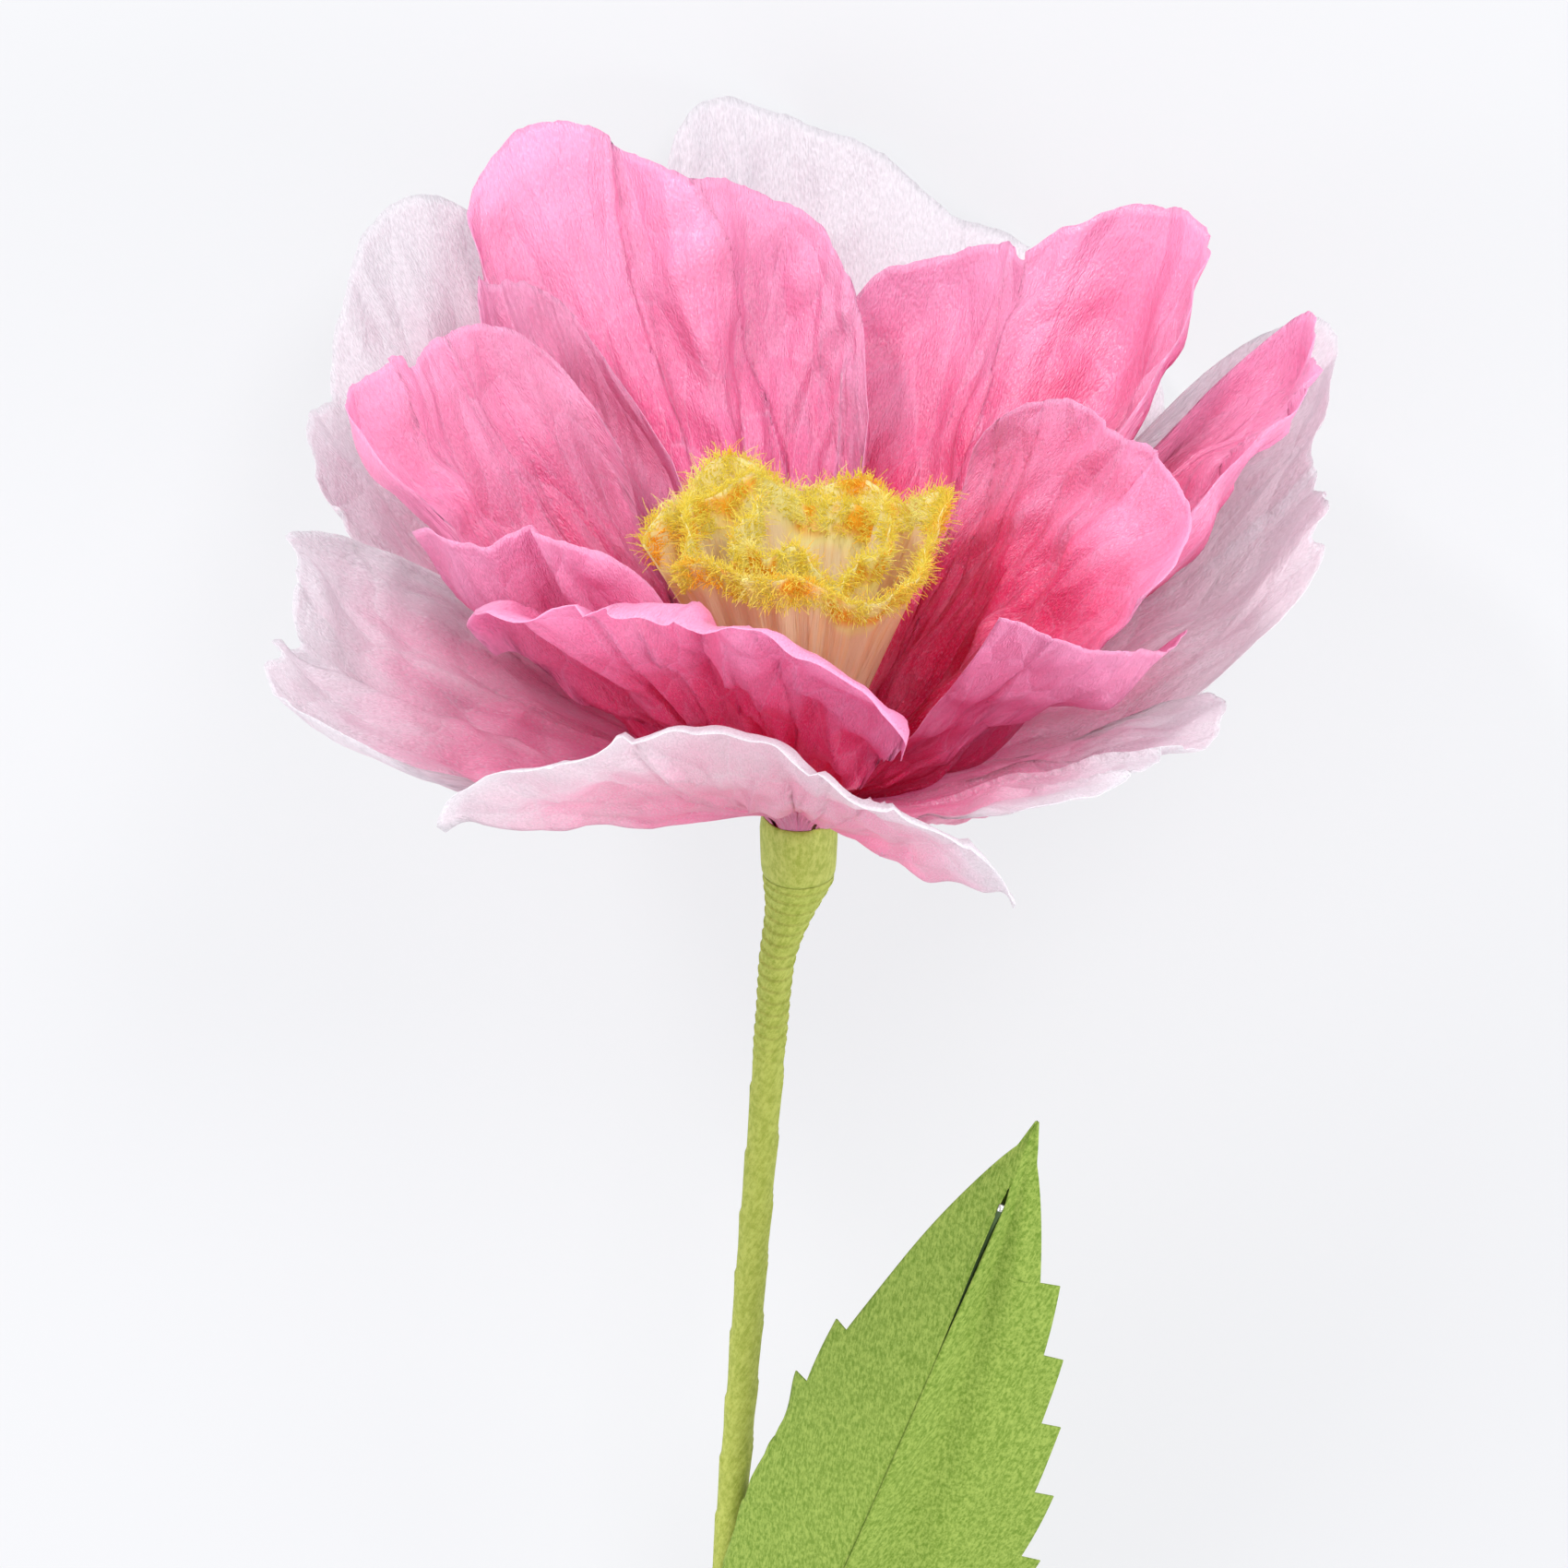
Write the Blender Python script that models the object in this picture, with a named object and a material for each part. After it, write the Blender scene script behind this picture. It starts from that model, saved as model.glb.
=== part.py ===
"""Paper flower: a large gathered tissue-paper bloom on a taped wire stem with one paper leaf.

Everything is shaped upright first, in the flower's own frame: the foot of the petals at the origin, the head's
axis +Z, the photographed front -Y.  The whole flower is then laid on its back, as it comes to rest: head
toward +Y, photographed front upward, and shifted so the middle of its underside's box is the origin.
"""
import math
import bmesh
import bpy
import numpy as np

MM = 0.001

# Sizes everything else is driven from
HEAD = 1.0                      # scale of the petals; 1.0 gives a head about 150 mm across
PAPER = 0.3 * MM                # petal sheet as modelled; real tissue is thinner
CREPE = 0.25 * MM               # stamen strip
GAP = 0.3 * MM                  # clearance between pieces that touch
WIRE_R = 1.2 * MM               # stem wire
STEM_R = 2.1 * MM               # stem wire with its tape
STEM_LENGTH = 330.0 * MM        # from the petals' foot down to the cut end
NECK = 8.0 * MM                 # depth at which the band ends and the tape begins
BAND_R = 5.3 * MM               # calyx band
RING_R = (3.1 * MM, 3.7 * MM, 4.3 * MM)   # the three rings of gathered feet
FOOT_SPREAD = (0.5, 0.75, 0.8)  # share of its span that each ring's petals keep at the foot
FOOT_DEPTH = 6.5 * MM
OPEN_OVER = 6.5 * MM            # length over which a petal opens out above the band

# Stem: it leaves the band at its left part, leans left, and runs forward under the nodding head
STEM_STEP = 2.0 * MM
STEM_LEAN = 0.079
STEM_NOD = math.radians(10.5)
BORE_SHARES = (0.0, 0.015, 0.03, 0.06, 0.25, 0.6)   # where the bore and the wire bend, as shares of the stem
WIND_CLOSE = 1.7 * MM           # pitch of the tape's turns on the taper
WIND_LONG = 22.0 * MM           # and below it
CLOSE_TO = 34.0 * MM
WIRE_BARE = 2.0 * MM            # wire left bare at the cut end

# Stamen: a strip rolled into a flared cone
STAMEN_TURNS = 2.15
STAMEN_HEIGHT = 44.0 * MM
STAMEN_RIM_IN = 8.0 * MM
STAMEN_RIM_OUT = 19.5 * MM
STAMEN_FOOT_IN = 1.6 * MM
STAMEN_FOOT_PITCH = 0.45 * MM

# Leaf
LEAF_LENGTH = 138.0 * MM
LEAF_HALF = 28.0 * MM
LEAF_JOIN = 155.0 * MM          # depth at which the leaf's wire is tied to the stem
LEAF_SHEET = 0.35 * MM
LEAF_WIRE_R = 0.4 * MM
LEAF_TOOTH = 3.0 * MM
TOOTH_FIRST = 0.082
TOOTH_STEP = 0.082
TOOTH_LAST = (0.656, 0.82)      # last tooth of the left and of the right half
LEAF_FOLD = (math.radians(40), math.radians(6))   # left and right halves, back from the leaf's plane
LEAF_SHARE = (0.85, 1.0)        # their widths as shares of the leaf's half width
LEAF_AIM = (45.5, -9.0, 130.0)  # the midrib's direction from its tie
LEAF_SAG = (3.5 * MM, 2.0 * MM)  # curl of each half's margin, backward
LEAF_ARCH = 3.0 * MM
TROUGH = 0.9 * MM               # half width of the midrib's trough
TROUGH_DEEP = 2.0 * MM
WIRE_SUNK = 1.0 * MM            # depth of the leaf wire's centre in the trough

BACK_PETAL = "petal_pale_back"  # its two lobes and the stem's end carry the flower as it lies

# Petals: name, ring, azimuth from the front toward +X, half span, length in mm,
# opening angle at the u=-1 edge, middle and u=+1 edge, belly, notch, lean of the rim, corner, folds (u, degrees)
PETALS = [
    ("petal_pink_left", 0, -111, 27, 82, (39, 42, 43), 5, 0.04, 0.07, 0.72, [(0.25, -2)]),
    ("petal_pink_back_inner", 0, -140.5, 12.5, 83, (44.8, 44.4, 44.3), 5, 0.04, 0.00, 0.70, []),
    ("petal_pink_front_left", 0, -58, 26, 72, (47, 40, 32), 4, 0.03, 0.00, 0.70, [(0.25, -3)]),
    ("petal_pink_right", 0, 86, 31, 73, (47, 35, 25), 2, 0.02, -0.12, 0.86, [(-0.25, -2)]),
    ("petal_pink_back_left", 1, -167, 26.5, 98, (48, 45.5, 49.5), 5, 0.07, 0.14, 0.70, [(0.0, -3), (0.5, -2)]),
    ("petal_pink_back_right", 1, 146, 30, 94, (43.5, 50, 52.8), 5, 0.06, -0.12, 0.78, [(0.0, -3), (-0.5, -1)]),
    ("petal_pink_front", 1, -19, 36, 78, (46, 39, 50), 0, 0.03, 0.00, 0.78, [(-0.5, 3)]),
    ("petal_pink_front_right", 1, 54, 17, 64, (39, 49.5, 53), 2, 0.00, 0.00, 0.98, []),
    ("petal_pink_right_outer", 1, 105, 17, 93, (45.7, 47.7, 52.2), 5, 0.02, 0.05, 0.66, []),
    ("petal_pale_back", 2, 166, 29, 105, (73, 58.5, 52), 5, 0.05, 0.14, 0.70, [(-0.5, 2), (0.5, 2)]),
    ("petal_pale_left_back", 2, -118, 32, 90, (51.5, 52, 58), 5, 0.08, -0.24, 0.66, [(0.0, 3)]),
    ("petal_pale_left_front", 2, -69, 24, 85, (48, 57, 63), 3, 0.09, 0.12, 0.66, [(0.0, 3)]),
    ("petal_pale_front", 2, -8, 36, 73, (66.5, 50, 72), 2, 0.02, -0.07, 0.86, [(-0.5, 2), (0.45, 2)]),
    ("petal_pale_right_front", 2, 49, 24, 69, (61, 61, 61), 0, 0.04, -0.06, 0.74, [(0.25, 2)]),
    ("petal_pale_right_back", 2, 104, 30, 88, (63, 55, 60), 5, 0.10, 0.20, 0.66, [(0.0, 3)]),
]
PETAL_COLUMNS = (-1, -0.94, -0.78, -0.5, -0.25, 0, 0.25, 0.5, 0.78, 0.94, 1)
PETAL_ROWS = (0.05, 0.12, 0.22, 0.38, 0.56, 0.74, 0.9, 1.0)


def smooth(x):
    """Ease from 0 to 1."""
    x = min(max(x, 0.0), 1.0)
    return x * x * (3 - 2 * x)


# Meshes

def add_mesh(name, points, faces):
    """One named closed object from points in the flower's frame, its faces turned outward."""
    mesh = bpy.data.meshes.new(name)
    mesh.from_pydata([tuple(p) for p in points], [], faces)
    work = bmesh.new()
    work.from_mesh(mesh)
    bmesh.ops.recalc_face_normals(work, faces=work.faces)
    work.to_mesh(mesh)
    work.free()
    obj = bpy.data.objects.new(name, mesh)
    bpy.context.scene.collection.objects.link(obj)
    return obj


def sheet(name, grid, thickness):
    """A closed thin solid round a grid of mid-surface points, rows by columns."""
    g = np.array(grid, dtype=float)
    along = np.gradient(g, axis=0)
    across = np.gradient(g, axis=1)
    n = np.cross(across, along)
    n /= np.maximum(np.linalg.norm(n, axis=2, keepdims=True), 1e-12)
    rows, cols = g.shape[:2]
    top = (g + n * thickness / 2).reshape(-1, 3)
    low = (g - n * thickness / 2).reshape(-1, 3)
    count = rows * cols
    faces = []
    for r in range(rows - 1):
        for c in range(cols - 1):
            a = r * cols + c
            quad = (a, a + 1, a + cols + 1, a + cols)
            faces.append(quad)
            faces.append(tuple(count + k for k in reversed(quad)))
    edge = [c for c in range(cols)]
    edge += [r * cols + cols - 1 for r in range(1, rows)]
    edge += [(rows - 1) * cols + c for c in range(cols - 2, -1, -1)]
    edge += [r * cols for r in range(rows - 2, 0, -1)]
    for a, b in zip(edge, edge[1:] + edge[:1]):
        faces.append((b, a, count + a, count + b))
    return add_mesh(name, np.vstack([top, low]), faces)


def lathe(name, outer, inner=None):
    """A closed solid from rings of points: outside rings top to bottom, and the bore's rings, or none for a rod."""
    rings = list(outer) + (list(reversed(inner)) if inner is not None else [])
    sides = len(rings[0])
    points = [p for ring in rings for p in ring]
    faces = []
    count = len(rings)
    for r in range(count if inner is not None else count - 1):
        lower = (r + 1) % count
        for k in range(sides):
            m = (k + 1) % sides
            faces.append((r * sides + k, lower * sides + k, lower * sides + m, r * sides + m))
    if inner is None:
        faces.append(tuple(range(sides)))
        faces.append(tuple(reversed(range((count - 1) * sides, count * sides))))
    return add_mesh(name, points, faces)


def ring_at(centre, radius, sides, tilt=0.0, axis=None):
    """Points of a ring round the stem; radius is a number or a function of the angle."""
    ring = []
    for k in range(sides):
        a = 2 * math.pi * k / sides
        r = radius(a) if callable(radius) else radius
        x, y = r * math.cos(a), r * math.sin(a)
        if axis is None:
            ring.append(np.array(centre) + np.array((x, y, tilt * y)))
        else:
            side, front = axis
            ring.append(np.array(centre) + side * x + front * y)
    return ring


# Petals

def rim_reach(u, notch, lean, corner):
    """Share of the petal's length reached at u: two lobes, a notch between them, rounded shoulders."""
    a = abs(u)
    if a > 0.5:
        q = (a - 0.5) / 0.5
        reach = corner + (1 - corner) * math.sqrt(max(0.0, 1 - q ** 2.2))
    else:
        reach = 1 - notch * (1 - a / 0.5) ** 2
    return reach * (1 + lean * u)


def petal_point(spec, u, s):
    """Mid-surface point of a petal at u across and s along; negative s is the foot's depth in metres."""
    name, ring, azimuth, span, length, opening, belly, notch, lean, corner, folds = spec
    spread = FOOT_SPREAD[ring] + (1 - FOOT_SPREAD[ring]) * smooth(s / 0.35)
    phi = math.radians(azimuth + span * u * spread)
    radius = RING_R[ring]
    if s < 0:
        return (radius * math.sin(phi), -radius * math.cos(phi), s)
    first, middle, last = opening
    wide = middle + 0.5 * (last - first) * u + (0.5 * (last + first) - middle) * u * u
    t = HEAD * length * MM * rim_reach(u, notch, lean, corner) * s
    rise = 1 - math.exp(-t / (OPEN_OVER * HEAD))
    beta = 10 + (wide - 10) * rise + belly * 4 * s * (1 - s) * rise
    for at, depth in folds:
        beta += depth * smooth(1 - abs(u - at) / 0.25) * smooth((s - 0.1) / 0.4)
    beta = math.radians(beta)
    radius += t * math.sin(beta)
    return (radius * math.sin(phi), -radius * math.cos(phi), t * math.cos(beta))


def petal(spec):
    """One gathered petal with its foot in the band."""
    rows = (-FOOT_DEPTH, -0.3 * MM) + PETAL_ROWS
    grid = [[petal_point(spec, u, s) for u in PETAL_COLUMNS] for s in rows]
    return sheet(spec[0], grid, PAPER)


# Stamen

def stamen_point(a, h):
    """a turns along the strip, h up it."""
    share = a / STAMEN_TURNS
    theta = 2 * math.pi * a + 2.2
    if h < 0:
        r = STAMEN_FOOT_IN + STAMEN_FOOT_PITCH * a
        return (r * math.cos(theta), r * math.sin(theta), h)
    foot = STAMEN_FOOT_IN + STAMEN_FOOT_PITCH * a
    rim = STAMEN_RIM_IN + (STAMEN_RIM_OUT - STAMEN_RIM_IN) * smooth(share * 1.15) ** 0.8
    ruffle = (0.4 + 0.6 * share) * 1.5 * MM * math.sin(6.5 * theta) * h ** 3
    r = foot + (rim - foot) * h ** 1.2 + ruffle
    z = STAMEN_HEIGHT * h * (1 + 0.05 * h * math.sin(3 * theta + 1) + 0.03 * h * math.sin(7 * theta))
    return (r * math.cos(theta), r * math.sin(theta), z)


def stamen():
    """The rolled strip, foot to ruffled rim."""
    steps = 52
    rows = (-FOOT_DEPTH, 0.0, 0.25, 0.5, 0.72, 0.88, 1.0)
    grid = [[stamen_point(STAMEN_TURNS * k / steps, h) for k in range(steps + 1)] for h in rows]
    return sheet("stamen_roll", grid, CREPE)


# Stem

def stem_centre(depth):
    """Centre of the stem at a depth below the petals' foot."""
    below = max(0.0, depth - NECK)
    ease = below - 5 * MM * (1 - math.exp(-below / (5 * MM)))
    x = -STEM_STEP * smooth(below / (14 * MM)) - STEM_LEAN * below
    return np.array((x, -math.tan(STEM_NOD) * ease, -depth))


def tape_radius(depth):
    """Outside radius of the wrapped stem: a taper under the band, then even."""
    below = max(0.0, depth - NECK)
    return STEM_R + (BAND_R - 0.4 * MM - STEM_R) * math.exp(-(below / (6.5 * MM)) ** 1.3)


def stem_wire():
    depths = [-2 * MM] + [bore_depth(share) for share in BORE_SHARES] + [STEM_LENGTH]
    return lathe("stem_wire", [ring_at(stem_centre(d), WIRE_R, 14) for d in depths])


def bore_depth(share):
    """Depth at a share of the stem below the band."""
    return NECK + share * (STEM_LENGTH - NECK)


def stem_tape():
    """Close slanting turns on the taper, then longer ones down the stem."""
    depths = []
    radii = []
    depth = NECK
    pitch = WIND_CLOSE
    end = STEM_LENGTH - WIRE_BARE
    while depth < end - pitch:
        ledge = 0.18 * MM if depth < CLOSE_TO else 0.1 * MM
        depths += [depth, depth + 0.8 * pitch]
        radii += [tape_radius(depth) + ledge, tape_radius(depth + 0.8 * pitch)]
        depth += pitch
        if depth > CLOSE_TO:
            pitch = WIND_LONG
    depths.append(end)
    radii.append(STEM_R)
    tilts = [0.0] + [0.25 * smooth((d - NECK) / (4 * MM)) for d in depths[1:-1]] + [0.0]
    outer = [ring_at(stem_centre(d), r, 14, tilt) for d, r, tilt in zip(depths, radii, tilts)]
    bore = [bore_depth(share) for share in BORE_SHARES] + [end]
    inner = [ring_at(stem_centre(d), WIRE_R + GAP, 14) for d in bore]
    return lathe("stem_tape", outer, inner)


def calyx_band():
    """The smooth band round the gathered feet."""
    profile = ((0.2, -0.25), (0.6, 0.0), (3.0, 0.0), (6.6, -0.12), (7.3, -0.35))
    outer = [ring_at((0, 0, -d * MM), BAND_R + r * MM, 28) for d, r in profile]
    inner = [ring_at((0, 0, -d * MM), RING_R[2] + PAPER / 2 + GAP, 28) for d in (0.2, 7.3)]
    return lathe("calyx_band", outer, inner)


# Leaf

def leaf_frame():
    """Origin on the stem's front, the midrib's direction, the blade's right and its front."""
    stem = stem_centre(LEAF_JOIN)
    base = stem + np.array((0.0, -(STEM_R + GAP + LEAF_WIRE_R), 0.0))
    up = np.array(LEAF_AIM)
    up /= np.linalg.norm(up)
    front = np.array((0.0, -1.0, 0.0))
    front = front - up * float(front @ up)
    front /= np.linalg.norm(front)
    right = np.cross(up, front)
    return base, up, right, front


def leaf_half(v, k):
    """Width of half k at v from the base to the tip: a full belly, a long taper, and teeth that point to the tip."""
    half = LEAF_HALF * math.sin(math.pi * min(1.0, 1.02 * v) ** 0.72) ** 0.8 * smooth(0.1 + v / 0.1)
    if TOOTH_FIRST <= v < TOOTH_LAST[k]:
        half -= LEAF_TOOTH * (1.0 - (v - TOOTH_FIRST) / TOOTH_STEP % 1.0)
    elif v >= TOOTH_LAST[k]:
        half -= LEAF_TOOTH * (1.0 - v) / (1.0 - TOOTH_LAST[k])
    return max(half * LEAF_SHARE[k], 1.6 * MM)


def leaf_row(v):
    """Mid-surface points across the blade at v: the left half folded back, a narrow trough, the right half."""
    base, up, right, front = leaf_frame()
    centre = base + up * LEAF_LENGTH * v + front * leaf_bow(v)
    row = []
    for k, side, stations in ((0, -1, (1.0, 0.5)), (1, 1, (0.5, 1.0))):
        fold = LEAF_FOLD[k]
        half = leaf_half(v, k)
        out = right * side * math.cos(fold) - front * math.sin(fold)
        back = -right * side * math.sin(fold) - front * math.cos(fold)
        for f in stations:
            sag = LEAF_SAG[k] * f * f * math.sin(math.pi * v)
            row.append(centre + out * (TROUGH + (half - TROUGH) * f) + back * sag)
    row[2:2] = [centre - right * TROUGH, centre - right * TROUGH - front * TROUGH_DEEP,
                centre + right * TROUGH - front * TROUGH_DEEP, centre + right * TROUGH]
    return row


def leaf_bow(v):
    """How far the midrib arches toward the front."""
    return LEAF_ARCH * math.sin(math.pi * v)


def leaf():
    """A toothed blade folded along its middle into a narrow trough for its wire."""
    levels = [0.055, 0.07]
    for k in range(round((max(TOOTH_LAST) - TOOTH_FIRST) / TOOTH_STEP) + 1):
        v = TOOTH_FIRST + TOOTH_STEP * k
        levels += [v - 0.003, v + 0.003]
    levels += [0.88, 0.94, 0.98, 0.999]
    return sheet("leaf_blade", [leaf_row(v) for v in levels], LEAF_SHEET)


def leaf_wire():
    """Thin wire from the tie on the stem up the trough."""
    base, up, right, front = leaf_frame()
    stem = stem_centre(LEAF_JOIN)
    away = STEM_R + GAP + LEAF_WIRE_R
    points = [stem_centre(LEAF_JOIN + d * MM) + np.array((0.0, -away, 0.0)) for d in (18, 9, 0)]
    for v in (0.04, 0.08, 0.13, 0.3, 0.45, 0.6, 0.75, 0.9):
        sunk = WIRE_SUNK * smooth(v / 0.12)
        points.append(base + up * LEAF_LENGTH * v + front * (leaf_bow(v) - sunk))
    rings = []
    for k, p in enumerate(points):
        ahead = points[min(k + 1, len(points) - 1)] - points[max(k - 1, 0)]
        ahead /= np.linalg.norm(ahead)
        side = np.cross(ahead, front)
        side /= np.linalg.norm(side)
        rings.append(ring_at(p, LEAF_WIRE_R, 8, axis=(side, np.cross(side, ahead))))
    return lathe("leaf_wire", list(reversed(rings)))


def leaf_tie():
    """Short wrap of tape that binds the leaf's wire to the stem."""
    away = STEM_R + GAP + LEAF_WIRE_R

    def bound(extra):
        def radius(a):
            off = math.atan2(math.sin(a + math.pi / 2), math.cos(a + math.pi / 2))
            bump = (away + LEAF_WIRE_R - STEM_R) * math.exp(-(off / 0.42) ** 4)
            return STEM_R + 0.1 * MM + bump + extra
        return radius

    depths = [LEAF_JOIN + d * MM for d in (2.5, 6, 14, 20)]
    outer = [ring_at(stem_centre(d), bound(GAP + 0.45 * MM), 24) for d in depths]
    inner = [ring_at(stem_centre(d), bound(GAP), 24) for d in depths]
    return lathe("leaf_tie", outer, inner)


# Lying down

def resting_turn():
    """Turn from the flower's frame to the lying pose: down on the back petal's two lobes and the stem's end."""
    spec = next(row for row in PETALS if row[0] == BACK_PETAL)
    lobe_a = np.array(petal_point(spec, 0.5, 1.0))
    lobe_b = np.array(petal_point(spec, -0.5, 1.0))
    heel = stem_centre(STEM_LENGTH) + np.array((0.0, WIRE_R, 0.0))
    up = np.cross(lobe_a - heel, lobe_b - heel)
    up /= np.linalg.norm(up)
    if up[1] > 0:
        up = -up
    ahead = np.array((0.0, 0.0, 1.0)) - up * up[2]
    ahead /= np.linalg.norm(ahead)
    return np.array((np.cross(ahead, up), ahead, up))


def lie_down(objects):
    """Lay the flower on its back and set the middle of its box's underside at the origin."""
    pose = resting_turn()
    low = np.full(3, 1e9)
    high = np.full(3, -1e9)
    for obj in objects:
        for v in obj.data.vertices:
            p = pose @ np.array(v.co)
            v.co = p
            low = np.minimum(low, p)
            high = np.maximum(high, p)
    shift = np.array(((low[0] + high[0]) / 2, (low[1] + high[1]) / 2, low[2]))
    for obj in objects:
        for v in obj.data.vertices:
            v.co = np.array(v.co) - shift
        obj.data.update()


def paint(obj, colour, roughness):
    """A material of the object's own."""
    material = bpy.data.materials.new(obj.name)
    material.use_nodes = True
    shader = material.node_tree.nodes["Principled BSDF"]
    shader.inputs["Base Color"].default_value = (*colour, 1.0)
    shader.inputs["Roughness"].default_value = roughness
    obj.data.materials.append(material)


def build():
    for obj in list(bpy.data.objects):
        bpy.data.objects.remove(obj)
    pieces = []
    for spec in PETALS:
        piece = petal(spec)
        paint(piece, (0.85, 0.72, 0.78) if "pale" in spec[0] else (0.85, 0.18, 0.38), 0.7)
        pieces.append(piece)
    for piece, colour in ((stamen(), (0.85, 0.55, 0.2)), (calyx_band(), (0.35, 0.42, 0.06)),
                          (stem_tape(), (0.33, 0.42, 0.07)), (leaf(), (0.2, 0.42, 0.06)),
                          (leaf_tie(), (0.33, 0.42, 0.07))):
        paint(piece, colour, 0.8)
        pieces.append(piece)
    for piece in (stem_wire(), leaf_wire()):
        paint(piece, (0.5, 0.5, 0.5), 0.35)
        pieces.append(piece)
    lie_down(pieces)


build()
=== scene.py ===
"""Looks of the paper flower: crumpled tissue petals, a fringed crepe roll, a taped stem and a crepe leaf.

Every shape is made upright in the flower's own frame (petals' foot at the origin, head's axis +Z,
photographed front -Y) on a fine grid, from the same sizes as the part's source, then laid down with it.
"""
import math
import bpy
import numpy as np
from mathutils import Matrix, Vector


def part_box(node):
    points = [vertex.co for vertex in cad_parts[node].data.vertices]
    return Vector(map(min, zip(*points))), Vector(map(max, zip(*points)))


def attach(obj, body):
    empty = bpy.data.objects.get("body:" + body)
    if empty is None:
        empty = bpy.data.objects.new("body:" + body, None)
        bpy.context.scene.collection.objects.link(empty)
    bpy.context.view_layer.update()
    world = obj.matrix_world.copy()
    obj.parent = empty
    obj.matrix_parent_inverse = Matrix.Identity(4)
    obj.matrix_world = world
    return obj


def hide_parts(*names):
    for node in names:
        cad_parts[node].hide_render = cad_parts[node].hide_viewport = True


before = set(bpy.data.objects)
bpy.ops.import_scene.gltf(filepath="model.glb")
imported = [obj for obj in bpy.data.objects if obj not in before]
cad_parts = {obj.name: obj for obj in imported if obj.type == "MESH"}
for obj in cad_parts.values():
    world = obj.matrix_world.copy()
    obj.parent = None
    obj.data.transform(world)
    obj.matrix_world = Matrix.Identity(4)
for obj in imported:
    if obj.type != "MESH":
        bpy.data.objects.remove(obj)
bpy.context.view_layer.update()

MM = 0.001

# Sizes shared with the part's source
HEAD = 1.0
GAP = 0.3 * MM
WIRE_R = 1.2 * MM
STEM_R = 2.1 * MM
STEM_LENGTH = 330.0 * MM
NECK = 8.0 * MM
BAND_R = 5.3 * MM
RING_R = (3.1 * MM, 3.7 * MM, 4.3 * MM)
FOOT_SPREAD = (0.5, 0.75, 0.8)
FOOT_DEPTH = 6.5 * MM
OPEN_OVER = 6.5 * MM
STEM_STEP = 2.0 * MM
STEM_STEP_OVER = 14.0 * MM
STEM_LEAN = 0.079
STEM_BEND_OVER = 5.0 * MM
STEM_NOD = math.radians(10.5)
BAND_LIP = 0.4 * MM
TAPER_OVER = 6.5 * MM
STAMEN_TURNS = 2.15
STAMEN_START = 2.2
STAMEN_RUFFLE = 1.5 * MM
STAMEN_HEIGHT = 44.0 * MM
STAMEN_RIM_IN = 8.0 * MM
STAMEN_RIM_OUT = 19.5 * MM
STAMEN_FOOT_IN = 1.6 * MM
STAMEN_FOOT_PITCH = 0.45 * MM
LEAF_LENGTH = 138.0 * MM
LEAF_HALF = 28.0 * MM
LEAF_JOIN = 155.0 * MM
LEAF_WIRE_R = 0.4 * MM
LEAF_TOOTH = 3.0 * MM
TOOTH_FIRST = 0.082
TOOTH_STEP = 0.082
TOOTH_LAST = (0.656, 0.82)
LEAF_FOLD = (math.radians(40), math.radians(6))
LEAF_SHARE = (0.85, 1.0)
LEAF_AIM = (45.5, -9.0, 130.0)
LEAF_SAG = (3.5 * MM, 2.0 * MM)
LEAF_ARCH = 3.0 * MM
TROUGH = 0.9 * MM
TROUGH_DEEP = 2.0 * MM
WIRE_SUNK = 1.0 * MM
BACK_PETAL = "petal_pale_back"

# Petals: name, ring, azimuth from the front toward +X, half span, length in mm, opening angle at the
# u=-1 edge, middle and u=+1 edge, belly, notch, lean of the rim, corner, folds (u, degrees)
PETALS = [
    ("petal_pink_left", 0, -111, 27, 82, (39, 42, 43), 5, 0.04, 0.07, 0.72, [(0.25, -2)]),
    ("petal_pink_back_inner", 0, -140.5, 12.5, 83, (44.8, 44.4, 44.3), 5, 0.04, 0.00, 0.70, []),
    ("petal_pink_front_left", 0, -58, 26, 72, (47, 40, 32), 4, 0.03, 0.00, 0.70, [(0.25, -3)]),
    ("petal_pink_right", 0, 86, 31, 73, (47, 35, 25), 2, 0.02, -0.12, 0.86, [(-0.25, -2)]),
    ("petal_pink_back_left", 1, -167, 26.5, 98, (48, 45.5, 49.5), 5, 0.07, 0.14, 0.70,
     [(0.0, -3), (0.5, -2)]),
    ("petal_pink_back_right", 1, 146, 30, 94, (43.5, 50, 52.8), 5, 0.06, -0.12, 0.78,
     [(0.0, -3), (-0.5, -1)]),
    ("petal_pink_front", 1, -19, 36, 78, (46, 39, 50), 0, 0.03, 0.00, 0.78, [(-0.5, 3)]),
    ("petal_pink_front_right", 1, 54, 17, 64, (39, 49.5, 53), 2, 0.00, 0.00, 0.98, []),
    ("petal_pink_right_outer", 1, 105, 17, 93, (45.7, 47.7, 52.2), 5, 0.02, 0.05, 0.66, []),
    ("petal_pale_back", 2, 166, 29, 105, (73, 58.5, 52), 5, 0.05, 0.14, 0.70, [(-0.5, 2), (0.5, 2)]),
    ("petal_pale_left_back", 2, -118, 32, 90, (51.5, 52, 58), 5, 0.08, -0.24, 0.66, [(0.0, 3)]),
    ("petal_pale_left_front", 2, -69, 24, 85, (48, 57, 63), 3, 0.09, 0.12, 0.66, [(0.0, 3)]),
    ("petal_pale_front", 2, -8, 36, 73, (66.5, 50, 72), 2, 0.02, -0.07, 0.86, [(-0.5, 2), (0.45, 2)]),
    ("petal_pale_right_front", 2, 49, 24, 69, (61, 61, 61), 0, 0.04, -0.06, 0.74, [(0.25, 2)]),
    ("petal_pale_right_back", 2, 104, 30, 88, (63, 55, 60), 5, 0.10, 0.20, 0.66, [(0.0, 3)]),
]

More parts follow.
